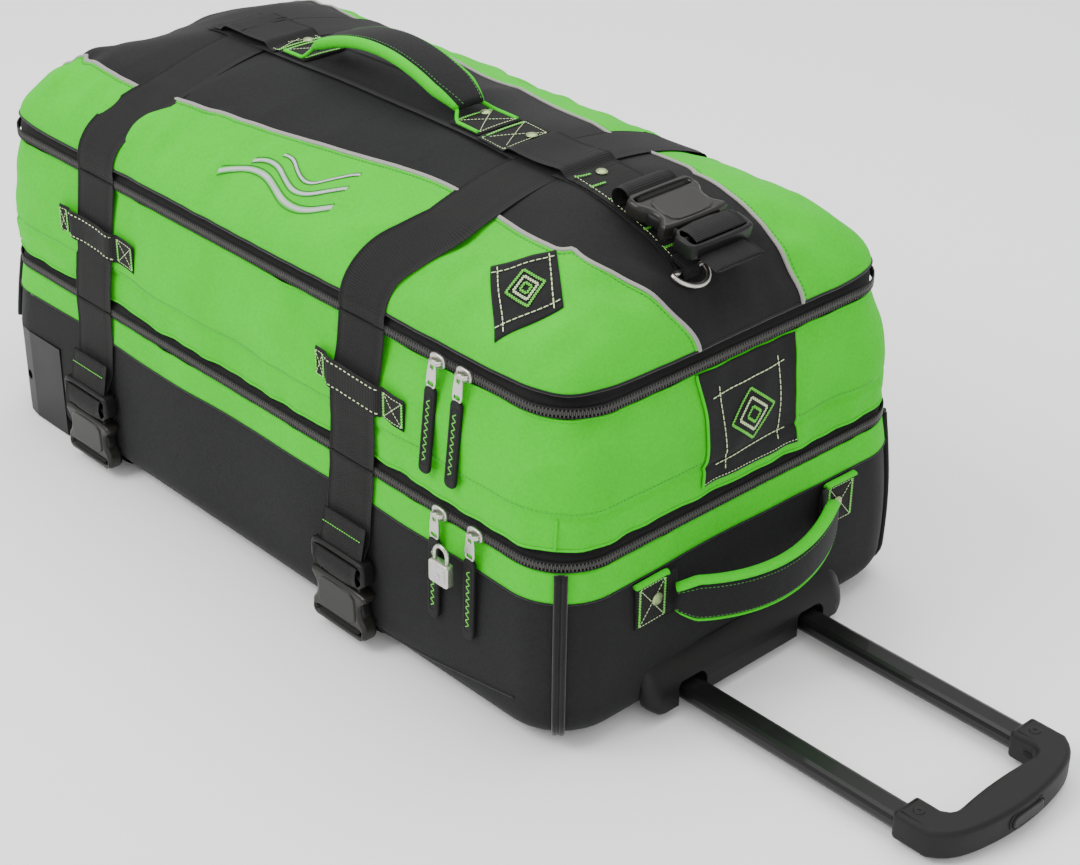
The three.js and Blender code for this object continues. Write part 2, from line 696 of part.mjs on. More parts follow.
// A side-release buckle lying along v, u wide and w thick, with its back at w = 0.
function socketBody() {
  const half = BUCKLE_W / 2;
  const body = alongZ(plate(0, SOCKET_LONG / 2, half, SOCKET_LONG / 2, 6), 0, BUCKLE_THICK);
  const mouth = box(4 - half, half - 4, SOCKET_LONG - PRONG_LONG - 2, SOCKET_LONG + 1, 3, BUCKLE_THICK - 3);
  const window = box(-half - 1, half + 1, SOCKET_LONG - PRONG_LONG, SOCKET_LONG - 12, 3, BUCKLE_THICK - 3);
  const slot = box(-WEB / 2 - 1, WEB / 2 + 1, 5, 10, -1, BUCKLE_THICK + 1);
  return cut(body, mouth, window, slot);
}

function latchBody() {
  const half = BUCKLE_W / 2;
  const start = SOCKET_LONG + GAP;
  const frame = alongZ(plate(0, start + LATCH_LONG / 2, half, LATCH_LONG / 2, 5), 0, BUCKLE_THICK);
  const slotA = box(-WEB / 2 - 1, WEB / 2 + 1, start + 6, start + 11, -1, BUCKLE_THICK + 1);
  const slotB = box(-WEB / 2 - 1, WEB / 2 + 1, start + 15, start + 20, -1, BUCKLE_THICK + 1);
  const prong = (u0, u1, long) => box(u0, u1, start - long, start + 2, 3.5, BUCKLE_THICK - 3.5);
  const arms = [prong(5.5 - half, 14 - half, PRONG_LONG), prong(half - 14, half - 5.5, PRONG_LONG)];
  return cut(join(frame, ...arms, prong(-4, 4, PRONG_LONG * 0.7)), slotA, slotB);
}

function sideBuckle(name, x) {
  const basis = new THREE.Matrix4().makeBasis(axis(1, 0, 0), axis(0, 0, 1), axis(0, -1, 0));
  basis.setPosition(x, -HALF_Y - STRAP_CLEAR, SOCKET_Z);
  add(`buckle_socket_${name}`, socketBody().applyMatrix4(basis), plastic());
  add(`buckle_latch_${name}`, latchBody().applyMatrix4(basis), plastic());
}

function topBuckle() {
  const tilt = new THREE.Matrix4().makeRotationY(TOP_TILT * Math.PI / 180);
  const basis = new THREE.Matrix4().makeBasis(axis(0, -1, 0), axis(1, 0, 0), axis(0, 0, 1));
  const seat = lidTop(TOP_SOCKET_X, 0) + TOP_BUCKLE_CLEAR;
  const place = new THREE.Matrix4().makeTranslation(TOP_SOCKET_X, TOP_Y, seat);
  place.multiply(tilt).multiply(basis);
  add('top_buckle_socket', socketBody().applyMatrix4(place), plastic());
  add('top_buckle_latch', latchBody().applyMatrix4(place), plastic());
}

// ---------------------------------------------------------------- webbing line and handles

// A length of webbing along the top's middle line, from [x, height above the lid] points.
function topWeb(name, points, half, thick) {
  const path = points.map(([x, h]) => [x, lidTop(x, 0) + h]);
  add(name, alongY(strip(path, STRAP_CLEAR, thick), TOP_Y - half, TOP_Y + half), webbing());
}

function beltLoop(name, x, tail) {
  const half = WEB / 2 + 4;
  topWeb(name, [
    [x - half - tail, 0], [x - half - 3, 0], [x - half + 3, BELT_RISE - 0.7], [x, BELT_RISE],
    [x + half - 3, BELT_RISE - 0.2], [x + half + 3, 0.2], [x + half + BELT_LAND, 0.4],
  ], WEB / 2, TAB_THICK);
}

function topLine() {
  beltLoop('belt_loop_front', FRONT_STRAP_TOP_X, BELT_TAIL_FRONT);
  beltLoop('belt_loop_rear', REAR_STRAP_TOP_X, BELT_TAIL_REAR);
  const tab = (name, x0, x1) => topWeb(name, [[x0, 0], [x1, 0]], HANDLE_W / 2, TAB_THICK);
  const front = HANDLE_FRONT_X + HANDLE_TAB_GAP;
  const rear = HANDLE_REAR_X - HANDLE_TAB_GAP;
  tab('handle_tab_front', front, front + TAB_LONG);
  tab('handle_tab_rear', rear - TAB_LONG, rear);
  const run = [];
  for (let i = 0; i <= 6; i += 1) {
    run.push([TOP_STRAP_X + (TOP_STRAP_END - TOP_STRAP_X) * i / 6, 0.4]);
  }
  topWeb('top_strap', run, WEB / 2, WEB_THICK);
}

// A band along stations of { at, wide, half } with the section's width along `wide`.
function band(stations, halfThick) {
  const loops = stations.map((station, i) => {
    const before = stations[Math.max(i - 1, 0)].at;
    const after = stations[Math.min(i + 1, stations.length - 1)].at;
    const along = after.clone().sub(before).normalize();
    const across = along.clone().cross(station.wide).normalize();
    return plate(0, 0, station.half, halfThick, halfThick * 0.9, 2).map(([u, v]) => (
      station.at.clone().addScaledVector(station.wide, u).addScaledVector(across, v).toArray()
    ));
  });
  return loft(loops);
}

function topHandle() {
  const base = lidTop(0, 0) + HANDLE_FOOT;
  const stations = [];
  const count = 18;
  for (let i = 0; i <= count; i += 1) {
    const t = i / count;
    const rise = HANDLE_RISE * Math.sin(Math.PI * t) ** 0.8;
    const x = HANDLE_REAR_X + (HANDLE_FRONT_X - HANDLE_REAR_X) * t;
    const half = Math.min(HANDLE_NECK + rise * 1.3, HANDLE_W / 2);
    stations.push({ at: axis(x, TOP_Y, base + rise), wide: axis(0, 1, 0), half });
  }
  add('top_handle', band(stations, HANDLE_THICK / 2), blackCloth());
}

function dRing() {
  const face = lidTop(D_RING_X, 0);
  const fall = Math.atan2(face - lidTop(D_RING_X + D_RING_R, 0), D_RING_R) * 180 / Math.PI;
  const z = face + STRAP_CLEAR + D_WIRE_R + 0.6;
  const round = [];
  for (let i = 0; i <= 12; i += 1) {
    const angle = -Math.PI / 2 + Math.PI * i / 12;
    round.push(axis(D_RING_R * Math.cos(angle), D_RING_R * Math.sin(angle), 0));
  }
  const outline = new THREE.CatmullRomCurve3(round, false);
  const wire = outlineShape(plate(0, 0, D_WIRE_R, D_WIRE_R, D_WIRE_R, 2));
  const arc = new THREE.ExtrudeGeometry(wire, { steps: 14, bevelEnabled: false, extrudePath: outline });
  const bar = rodY(D_WIRE_R, 0, 0, -D_RING_R - D_WIRE_R, D_RING_R + D_WIRE_R, 10);
  const ringShape = join(arc, bar);
  const place = new THREE.Matrix4().makeTranslation(D_RING_X, D_RING_Y, z);
  place.multiply(new THREE.Matrix4().makeRotationY((fall - D_LIFT) * Math.PI / 180));
  add('d_ring', ringShape.applyMatrix4(place), nickel());
}

function haulHandle() {
  const x = HALF_X + GAP;
  for (const [side, name] of [[-1, 'right'], [1, 'left']]) {
    const y = [side * (HAUL_HALF + GAP), side * (HAUL_HALF + HAUL_TAB_W)].sort((p, q) => p - q);
    const pad = box(x, x + TAB_THICK, ...y, HAUL_Z - HAUL_TAB_H / 2, HAUL_Z + HAUL_TAB_H / 2);
    add(`haul_tab_${name}`, pad, webbing());
  }
  const stations = [];
  const count = 16;
  const foot = x + HAUL_THICK / 2 + HAUL_FOOT;
  for (let i = 0; i <= count; i += 1) {
    const t = i / count;
    const bow = Math.sin(Math.PI * t) ** 0.75;
    const y = (2 * t - 1) * (HAUL_HALF - HAUL_THICK);
    const at = axis(foot + HAUL_OUT * bow, y, HAUL_Z - HAUL_DROOP * bow);
    const half = Math.min(HANDLE_NECK + HAUL_OUT * bow * 1.1, HAUL_BAND / 2);
    stations.push({ at, wide: axis(0, 0, 1), half });
  }
  add('haul_handle', band(stations, HAUL_THICK / 2), blackCloth());
}

// ---------------------------------------------------------------- zip sliders and padlock

function slider(level, mark, x, y, z, tilt) {
  const back = y + GAP;
  const body = alongY(plate(x, z, SLIDER_LONG / 2, SLIDER_W / 2, 3.5), -back - SLIDER_THICK, -back);
  add(`slider_${level}_${mark}`, body, nickel());
  const outline = plate(0, PULL_ABOVE - PULL_LONG / 2, PULL_W / 2, PULL_LONG / 2, PULL_W / 2 - 0.2);
  const eye = plate(0, -2, 2.4, 3, 2.2, 2);
  const pull = alongY(outline, -PULL_THICK, 0, [eye]);
  const place = new THREE.Matrix4().makeTranslation(x, -back - SLIDER_THICK - PULL_STANDOFF, z);
  place.multiply(new THREE.Matrix4().makeRotationX(-tilt * Math.PI / 180));
  add(`pull_${level}_${mark}`, pull.applyMatrix4(place), rubber());
}

function sliders() {
  const marks = ['rear', 'front'];
  UPPER_SLIDERS_X.forEach((x, i) => {
    slider('upper', marks[i], x, UPPER_B, UPPER_ZIP_Z, UPPER_PULL_TILT);
  });
  LOWER_SLIDERS_X.forEach((x, i) => {
    slider('lower', marks[i], x, LOWER_B, LOWER_ZIP_Z, LOWER_PULL_TILT);
  });
}

function padlock() {
  const x = (LOWER_SLIDERS_X[0] + LOWER_SLIDERS_X[1]) / 2;
  const y = -LOWER_B - GAP - SLIDER_THICK - PULL_STANDOFF - LOCK_CLEAR;
  const top = LOWER_ZIP_Z - 24;
  const body = alongY(plate(x, top - LOCK_H / 2, LOCK_W / 2, LOCK_H / 2, 3), y - LOCK_THICK, y);
  const middle = y - LOCK_THICK / 2;
  const points = [[SHACKLE_R, -2], [SHACKLE_R, 5]];
  for (let i = 1; i <= 8; i += 1) {
    const angle = Math.PI * i / 8;
    points.push([SHACKLE_R * Math.cos(angle), 5 + SHACKLE_R * Math.sin(angle)]);
  }
  points.push([-SHACKLE_R, -2]);
  const route = new THREE.CatmullRomCurve3(points.map(([u, v]) => axis(x + u, middle, top + v)));
  const wire = outlineShape(plate(0, 0, SHACKLE_WIRE, SHACKLE_WIRE, SHACKLE_WIRE, 2));
  const loop = new THREE.ExtrudeGeometry(wire, { steps: 20, bevelEnabled: false, extrudePath: route });
  add('padlock', join(body, loop), nickel());
}

lowerShell();
lowerTrim();
middleShell();
divider();
lidShell();
skids();
trolley();
trolleyHousing();
grip();
wheelEnd(-1, 'right');
wheelEnd(1, 'left');
strap('front', FRONT_STRAP_X, FRONT_STRAP_TOP_X);
strap('rear', REAR_STRAP_X, REAR_STRAP_TOP_X);
keeper('front', FRONT_STRAP_X);
keeper('rear', REAR_STRAP_X);
sideBuckle('front', FRONT_STRAP_X);
sideBuckle('rear', REAR_STRAP_X);
topLine();
topBuckle();
topHandle();
dRing();
haulHandle();
sliders();
padlock();

export default bag;
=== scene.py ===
"""A large two-level rolling travel bag: cloth, webbing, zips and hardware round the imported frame.

Metres, +Z up. +X runs to the pull handle, -Y is the side that opens, +Y the hinge side.
"""

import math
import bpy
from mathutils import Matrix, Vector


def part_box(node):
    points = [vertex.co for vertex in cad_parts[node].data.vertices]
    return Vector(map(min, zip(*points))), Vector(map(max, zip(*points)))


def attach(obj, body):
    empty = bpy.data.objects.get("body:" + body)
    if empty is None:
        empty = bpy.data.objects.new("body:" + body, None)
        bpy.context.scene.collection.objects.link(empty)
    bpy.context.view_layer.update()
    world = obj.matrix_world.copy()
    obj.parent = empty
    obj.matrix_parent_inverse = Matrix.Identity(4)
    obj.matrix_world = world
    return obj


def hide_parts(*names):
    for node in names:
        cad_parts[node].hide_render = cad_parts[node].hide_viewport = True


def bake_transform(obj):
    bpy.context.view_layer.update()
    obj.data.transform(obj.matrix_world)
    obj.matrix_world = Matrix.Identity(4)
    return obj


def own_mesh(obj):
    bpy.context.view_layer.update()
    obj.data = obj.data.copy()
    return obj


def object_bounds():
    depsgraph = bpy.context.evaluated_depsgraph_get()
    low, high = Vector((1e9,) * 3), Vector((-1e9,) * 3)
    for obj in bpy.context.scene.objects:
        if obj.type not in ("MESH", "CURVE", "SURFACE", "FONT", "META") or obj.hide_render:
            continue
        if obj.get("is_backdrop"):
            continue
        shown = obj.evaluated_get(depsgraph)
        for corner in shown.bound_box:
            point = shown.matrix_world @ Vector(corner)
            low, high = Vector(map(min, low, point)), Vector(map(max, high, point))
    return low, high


bl_info = {
    "name": "Two-level rolling bag",
    "version": (1, 0, 0),
    "blender": (4, 5, 0),
    "location": "View3D > Sidebar > Rolling bag",
    "description": "Builds the cloth, webbing, zips and hardware of a two-level rolling bag",
    "category": "Add Mesh",
}

import bpy
import numpy as np
from bpy.props import FloatProperty, FloatVectorProperty, IntProperty, PointerProperty
from mathutils import Matrix, Vector

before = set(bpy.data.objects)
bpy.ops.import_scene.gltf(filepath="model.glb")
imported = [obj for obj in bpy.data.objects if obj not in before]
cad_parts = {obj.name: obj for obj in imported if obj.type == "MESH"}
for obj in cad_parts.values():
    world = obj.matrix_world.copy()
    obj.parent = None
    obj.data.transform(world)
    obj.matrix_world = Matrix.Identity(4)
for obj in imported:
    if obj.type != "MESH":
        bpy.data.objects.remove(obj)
CAD_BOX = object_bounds()
MM = 0.001

# Places and sizes of the bag's body, read from the frame where a node holds them.
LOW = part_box("lower_shell")
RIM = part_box("upper_zip_lid_tape")
LOWER_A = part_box("lower_zip_base_tape")[1][0]
LOWER_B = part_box("lower_zip_base_tape")[1][1]
UPPER_SHIFT = (RIM[0][0] + RIM[1][0]) / 2
UPPER_A = (RIM[1][0] - RIM[0][0]) / 2
UPPER_B = RIM[1][1]
FLOOR_Z = LOW[0][2]
BODY_A = LOW[1][0]
BODY_B = LOW[1][1]
BAND_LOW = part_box("lower_band")[0][2]
BAND_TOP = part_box("lower_band")[1][2]
LOWER_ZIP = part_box("lower_zip_middle_tape")[0][2]
UPPER_ZIP = RIM[0][2]
MIDDLE_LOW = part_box("middle_gusset")[0][2]
MIDDLE_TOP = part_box("middle_gusset")[1][2]
LID_RIM = RIM[1][2]
LID_CROWN = 73 * MM
LID_FALL = 164 * MM
LID_POWER = 0.6
CORNER_POWER = 8
CORNER_R = 43 * MM
BOTTOM_R = 24 * MM
WALL_BULGE = 4 * MM

# Zip teeth, the fine stitching of both handles and the pull handle's grip.
TOOTH_LONG = 5.6 * MM
TOOTH_R = 0.85 * MM
TOOTH_PITCH = 2.6 * MM
FINE_STITCH = (3.2 * MM, 0.6, 0.34 * MM)
GRIP_DEEP = 11 * MM
GRIP_BOW = 4 * MM
GRIP_CORNER = 9 * MM

# Webbing and the line along the top.
WEB = 50 * MM
CENTRE_WEB = (-0.235, 0.296)
FRONT_WEB = (0.196, 0.300)
LADDER_END = 0.298
LADDER_HALF = 0.0225
TOP_BUCKLE_X = 0.250
HAUL_Z = 0.100
FRONT_STRAP = 130 * MM
REAR_STRAP = -204 * MM
FRONT_STRAP_TOP = 158 * MM
REAR_STRAP_TOP = -184 * MM
STRAP_DRIFT = 60 * MM
TOP_Y = -6 * MM
KEEPER_Z = 208 * MM


# ---------------------------------------------------------------- soft waves

def smooth(k):
    """An even step from 0 to 1."""
    k = np.clip(k, 0, 1)
    return k * k * (3 - 2 * k)


def waves(points, seed, length, stretch=(1, 1, 1), count=14):
    """A soft random field over points, about -1 to 1, whose waves are about `length` long."""
    rng = np.random.default_rng(seed)
    way = rng.normal(size=(count, 3)) * np.asarray(stretch)
    way /= np.linalg.norm(way, axis=1, keepdims=True)
    pitch = 2 * math.pi / (length * rng.uniform(0.7, 1.6, count))
    phase = rng.uniform(0, 2 * math.pi, count)
    field = np.sin(points @ (way * pitch[:, None]).T + phase)
    return field.sum(axis=-1) / math.sqrt(count)


def creases(points, seed, length, stretch=(1, 1, 1)):
    """Narrow pulled-in lines between soft swells."""
    return 0.5 - np.abs(waves(points, seed, length, stretch, 7))


# ---------------------------------------------------------------- surfaces of the bag

def loop_plan(a, b, r, side=90, end=46, corner=14):
    """A rounded rectangle's plan, anticlockwise from the rear end of the near side."""
    runs = []
    for turn, (cx, cy, n) in enumerate(((a - r, -(b - r), side), (a - r, b - r, end),
                                        (-(a - r), b - r, side), (-(a - r), -(b - r), end))):
        start = ((-(a - r), -b), (a, -(b - r)), (a - r, b), (-a, b - r))[turn]
        angle = -math.pi / 2 + turn * math.pi / 2
        first = (cx + r * math.cos(angle), cy + r * math.sin(angle))
        for k in range(n):
            t = k / n
            runs.append((start[0] + (first[0] - start[0]) * t, start[1] + (first[1] - start[1]) * t))
        for k in range(corner):
            turned = angle + math.pi / 2 * k / corner
            runs.append((cx + r * math.cos(turned), cy + r * math.sin(turned)))
    return np.array(runs)


def normals_of(rows, wrap):
    """Unit normals of a grid of points, outwards for rows that climb a wall."""
    if wrap:
        across = np.roll(rows, -1, axis=1) - np.roll(rows, 1, axis=1)
    else:
        across = np.gradient(rows, axis=1)
    up = np.gradient(rows, axis=0)
    normal = np.cross(across, up)
    return normal / np.maximum(np.linalg.norm(normal, axis=2, keepdims=True), 1e-12)


def lower_size(z):
    """Half length and half width of the lower compartment at a height."""
    k = np.clip((z - FLOOR_Z - BOTTOM_R) / (BAND_LOW - FLOOR_Z - BOTTOM_R), 0, 1)
    top = np.clip((z - BAND_LOW) / (BAND_TOP - BAND_LOW), 0, 1)
    inset = 3.6 * MM * k + 2.4 * MM * top
    swell = 1.6 * MM * np.sin(math.pi * k)
    foot = np.clip((FLOOR_Z + BOTTOM_R - z) / BOTTOM_R, 0, 1)
    under = BOTTOM_R * (1 - np.sqrt(np.maximum(1 - foot ** 2, 0)))
    return BODY_A - inset + swell - under, BODY_B - inset + swell - under


def middle_size(z):
    """Half length, half width and shift of the middle section at a height."""
    k = np.clip((z - MIDDLE_LOW) / (MIDDLE_TOP - MIDDLE_LOW), 0, 1)
    swell = WALL_BULGE * np.sin(math.pi * k)
    a = LOWER_A + (UPPER_A - LOWER_A) * k + swell
    b = LOWER_B + (UPPER_B - LOWER_B) * k + swell
    return a, b, UPPER_SHIFT * k


def strap_dip(x, width=WEB * 0.9):
    """How much the two straps draw the cloth in at a place along the bag, 0 to 1."""
    return sum(np.exp(-((x - s) / width) ** 2) for s in (FRONT_STRAP, REAR_STRAP))


def middle_relief(p):
    """Height of the middle section's folds over its smooth wall."""
    z = p[..., 2]
    k = np.clip((z - MIDDLE_LOW) / (MIDDLE_TOP - MIDDLE_LOW), 0, 1)
    edge = np.exp(-((1 - np.abs(2 * k - 1)) / 0.28) ** 2)
    side = smooth((UPPER_A - 0.03 - np.abs(p[..., 0])) / 0.03)
    relief = 1.9 * MM * waves(p, 3, 0.11, (1, 1, 1.6))
    relief = relief + 2.2 * MM * creases(p, 8, 0.10, (1, 1, 2.6)) * (1 - edge)
    pleats = np.exp(-((1 - np.abs(2 * k - 1)) / 0.45) ** 2)
    tuck = np.exp(-((z - 0.1815) / 0.0026) ** 2)
    corner = np.exp(-((np.abs(p[..., 0]) - UPPER_A + 0.012) / 0.03) ** 2)
    relief = (relief * (1 - 0.65 * edge) + 1.1 * MM * waves(p, 5, 0.030, (1, 1, 0.12)) * pleats
              - 2.0 * MM * tuck)
    relief = relief + corner * 0.5 * MM * waves(p, 12, 0.03, (0.3, 0.3, 1.3)) * (1 - edge)
    return relief - 2.2 * MM * strap_dip(p[..., 0]) * side


def lower_relief(p):
    """Height of the lower compartment's soft waves over its smooth wall."""
    lift = smooth((p[..., 2] - 0.01) / 0.04)
    relief = 1.1 * MM * waves(p, 21, 0.16, (1, 1, 0.6)) + 0.5 * MM * creases(p, 24, 0.2, (1, 1, 2))
    return relief * lift - 1.2 * MM * strap_dip(p[..., 0]) * lift


def lid_place(p, q):
    """Smooth lid point for places p, q that run on round the curve past the flat top."""
    flat_a = UPPER_A - LID_FALL
    flat_b = UPPER_B - LID_FALL
    u = np.sin(np.clip((np.abs(p) - flat_a) / LID_FALL, 0, math.pi / 2))
    v = np.sin(np.clip((np.abs(q) - flat_b) / LID_FALL, 0, math.pi / 2))
    reach = np.maximum(u, v)
    norm = (u ** CORNER_POWER + v ** CORNER_POWER) ** (1 / CORNER_POWER)
    pull = np.where(norm > 1e-9, reach / np.maximum(norm, 1e-9), 1)
    x = np.sign(p) * np.where(u > 0, flat_a + u * pull * LID_FALL, np.abs(p)) + UPPER_SHIFT
    y = np.sign(q) * np.where(v > 0, flat_b + v * pull * LID_FALL, np.abs(q))
    z = LID_RIM + LID_CROWN * np.maximum(1 - reach ** 2, 0) ** LID_POWER
    return np.stack([x, y, z], axis=-1), reach


def round_on(value, flat):
    """The run-on place of a plain distance from the middle."""
    over = np.clip((np.abs(value) - flat) / LID_FALL, 0, 1)
    return np.sign(value) * (np.minimum(np.abs(value), flat) + LID_FALL * np.arcsin(over))


P_END = UPPER_A - LID_FALL + LID_FALL * math.pi / 2
Q_END = UPPER_B - LID_FALL + LID_FALL * math.pi / 2


def lid_relief(point, reach):
    """Height of the lid's folds over its smooth dome."""
    x, y = point[..., 0], point[..., 1]
    k = smooth((UPPER_B - np.abs(y)) / STRAP_DRIFT)
    front = FRONT_STRAP + (FRONT_STRAP_TOP - FRONT_STRAP) * k
    rear = REAR_STRAP + (REAR_STRAP_TOP - REAR_STRAP) * k
    dip = np.exp(-((x - front) / 0.036) ** 2) + np.exp(-((x - rear) / 0.036) ** 2)
    relief = 1.5 * MM * waves(point, 31, 0.13, (1, 1.3, 0.8))
    relief = relief + 1.4 * MM * creases(point, 37, 0.16, (1.8, 1, 1))
    pleats = smooth((reach - 0.5) / 0.35)
    relief = relief + pleats * 1.5 * MM * waves(point, 35, 0.032, (1, 1, 0.15))
    return (relief - 2.6 * MM * dip) * (1 - reach ** 10 * 0.75)


def lid_grid(p, q):
    """Points of the lid's cloth over a grid of run-on places."""
    point, reach = lid_place(p, q)
    step = 1e-4
    near = np.clip(np.abs(p), 0, P_END - 4 * step) * np.sign(p)
    away = np.clip(np.abs(q), 0, Q_END - 4 * step) * np.sign(q)
    along = lid_place(near + step, away)[0] - lid_place(near - step, away)[0]
    over = lid_place(near, away + step)[0] - lid_place(near, away - step)[0]
    normal = np.cross(along, over)
    normal /= np.maximum(np.linalg.norm(normal, axis=-1, keepdims=True), 1e-12)
    return point + normal * lid_relief(point, reach)[..., None], normal


def on_lid(x, y, lift=0.0):
    """Point and normal on the lid's cloth at a plain place, lifted off it."""
    x, y = np.broadcast_arrays(np.asarray(x, float), np.asarray(y, float))
    p = round_on(x - UPPER_SHIFT, UPPER_A - LID_FALL)
    q = round_on(y, UPPER_B - LID_FALL)
    point, normal = lid_grid(p, q)
    return point + normal * lift, normal


def on_side(x, z, lift=0.0, side=-1):
    """Point and normal on a long wall at x and height z, lifted off it."""
    x, z = np.broadcast_arrays(np.asarray(x, float), np.asarray(z, float))
    low_b = lower_size(z)[1]
    mid_b = middle_size(z)[1]
    in_lower = z < LOWER_ZIP
    half = np.where(in_lower, low_b, mid_b)
    half = np.where(z > MIDDLE_TOP, UPPER_B, half)
    base = np.stack([x, side * half, z], axis=-1)
    relief = np.where(in_lower, lower_relief(base), middle_relief(base))
    relief = np.where((z > BAND_TOP) & (z < MIDDLE_LOW) | (z > MIDDLE_TOP), 0, relief)
    normal = np.zeros_like(base)
    normal[..., 1] = side
    return base + normal * (relief + lift)[..., None], normal


def on_front(y, z, lift=0.0):
    """Point and normal on the front wall at y and height z, lifted off it."""
    y, z = np.broadcast_arrays(np.asarray(y, float), np.asarray(z, float))
    low_a = lower_size(z)[0]
    mid_a, _, shift = middle_size(z)
    in_lower = z < LOWER_ZIP
    base = np.stack([np.where(in_lower, low_a, mid_a + shift), y, z], axis=-1)
    relief = np.where(in_lower, lower_relief(base), middle_relief(base))
    normal = np.zeros_like(base)
    normal[..., 0] = 1
    return base + normal * (relief + lift)[..., None], normal


# ---------------------------------------------------------------- shader nodes

class Wire:
    """A number or colour that runs through one material's nodes."""

    def __init__(self, maker, socket):
        self.maker = maker
        self.socket = socket

    def _math(self, operation, first, second=None):
        values = {0: first}
        if second is not None:
            values[1] = second
        return self.maker.node("ShaderNodeMath", {"operation": operation}, values)

    def __add__(self, other):
        return self._math("ADD", self, other)

    __radd__ = __add__

    def __mul__(self, other):
        return self._math("MULTIPLY", self, other)

    __rmul__ = __mul__

    def __rsub__(self, other):
        return self._math("SUBTRACT", other, self)

    def sine(self):
        return self._math("SINE", self)

    def size(self):
        return self._math("ABSOLUTE", self)


class Finish:
    """One material and the few node recipes that the bag's finishes share."""

    def __init__(self, name):
        self.material = bpy.data.materials.new(name)
        self.material.use_nodes = True
        self.tree = self.material.node_tree
        self.shader = self.tree.nodes["Principled BSDF"]

    def node(self, kind, settings=None, values=None, output=0):
        made = self.tree.nodes.new(kind)
        for key, value in (settings or {}).items():
            setattr(made, key, value)
        for key, value in (values or {}).items():
            if isinstance(value, Wire):
                self.tree.links.new(value.socket, made.inputs[key])
            else:
                made.inputs[key].default_value = value
        return Wire(self, made.outputs[output])

    def set(self, **values):
        for key, value in values.items():
            socket = self.shader.inputs[key.replace("_", " ")]
            if isinstance(value, Wire):
                self.tree.links.new(value.socket, socket)
            else:
                socket.default_value = value

    def place(self):
        return self.node("ShaderNodeTexCoord", output=3)

    def cloth_place(self):
        """Distances in metres along and across a woven piece."""
        place = self.node("ShaderNodeUVMap", {"uv_map": "weave"})
        parts = self.tree.nodes.new("ShaderNodeSeparateXYZ")
        self.tree.links.new(place.socket, parts.inputs[0])
        return Wire(self, parts.outputs[0]), Wire(self, parts.outputs[1])

    def noise(self, scale, detail=3.0, rough=0.55):
        values = {"Vector": self.place(), "Scale": scale, "Detail": detail, "Roughness": rough}
        return self.node("ShaderNodeTexNoise", None, values)

    def mix(self, share, first, second):
        settings = {"data_type": "RGBA"}
        return self.node("ShaderNodeMix", settings, {0: share, 6: first, 7: second}, 2)

    def bump(self, height, depth, strength=1.0):
        values = {"Height": height, "Distance": depth, "Strength": strength}
        self.set(Normal=self.node("ShaderNodeBump", None, values))


def rgba(colour, level=1.0):
    return (colour[0] * level, colour[1] * level, colour[2] * level, 1.0)


def woven(name, colour, thread=1.5 * MM, deep=0.62, rough=0.78, sheen=0.25, mottle=0.10):
    """Plain-woven cloth: crossing threads, slubs, and slow changes of shade."""
    made = Finish(name)
    along, across = made.cloth_place()
    pitch = 2 * math.pi / thread
    weft = (along * pitch).sine()
    warp = (across * pitch).sine()
    cells = weft * warp
    slub = made.noise(420, 2.0)
    broad = made.noise(14, 4.0, 0.6)
    height = cells * 0.5 + slub * 0.9
    shade = cells * 0.10 + slub * 0.55 + broad * mottle * 6
    tone = made.node("ShaderNodeMapRange", {"clamp": True}, {0: shade, 1: 0.15, 2: 1.05, 3: 0.0, 4: 1.0})
    made.set(Base_Color=made.mix(tone, rgba(colour, deep), rgba(colour, 1.12)))
    made.set(Roughness=0.9 - slub * 0.2 * (1 - (rough - 0.5)), Sheen_Weight=sheen, Sheen_Roughness=0.45)
    made.shader.inputs["Specular IOR Level"].default_value = 0.2
    made.bump(height, 0.16 * MM, 0.55)
    return made.material


def ribbed(name, colour, rib=1.7 * MM):
    """Webbing: close ribs across the run, each one notched by the warp."""
    made = Finish(name)
    along, across = made.cloth_place()
    lines = (along * (2 * math.pi / rib)).sine()
    warp = (across * (2 * math.pi / (2.6 * MM))).sine()
    fine = made.noise(600, 2.0)
    broad = made.noise(22, 3.0)
    shade = lines * 0.24 + warp * 0.05 + fine * 0.5 + broad * 0.35
    tone = made.node("ShaderNodeMapRange", {"clamp": True}, {0: shade, 1: 0.1, 2: 0.9, 3: 0.0, 4: 1.0})
    made.set(Base_Color=made.mix(tone, rgba(colour, 0.45), rgba(colour, 1.6)))
    made.set(Roughness=0.72 + fine * 0.2, Sheen_Weight=0.02)
    made.shader.inputs["Specular IOR Level"].default_value = 0.22
    made.bump(lines * 0.6 + warp * 0.25 + fine * 0.3, 0.22 * MM, 0.7)
    return made.material


def moulded(name, colour, rough=0.42, grain=900, depth=0.03 * MM, coat=0.0):
    """Moulded plastic or rubber with a fine grain and softly worn patches."""
    made = Finish(name)
    fine = made.noise(grain, 2.0)
    worn = made.noise(35, 4.0, 0.65)
    tone = fine * 0.35 + worn * 0.65
    made.set(Base_Color=made.mix(tone, rgba(colour, 0.78), rgba(colour, 1.25)))
    made.set(Roughness=rough - 0.06 + worn * 0.14, Coat_Weight=coat)
    made.shader.inputs["Specular IOR Level"].default_value = 0.2
    made.bump(fine, depth, 0.5)
    return made.material


def metal(name, colour, rough=0.28, stretch=(30, 30, 900)):
    """Plated metal with faint brushing and small changes of polish."""
    made = Finish(name)
    scaled = made.node("ShaderNodeVectorMath", {"operation": "MULTIPLY"}, {0: made.place(), 1: stretch})
    brushed = made.node("ShaderNodeTexNoise", None, {"Vector": scaled, "Scale": 1.0, "Detail": 2.0})
    spots = made.noise(160, 3.0)
    made.set(Base_Color=made.mix(spots, rgba(colour, 0.75), rgba(colour, 1.1)), Metallic=1.0)
    made.set(Roughness=rough + brushed * 0.12 + spots * 0.08)
    made.bump(brushed, 0.02 * MM, 0.4)
    return made.material


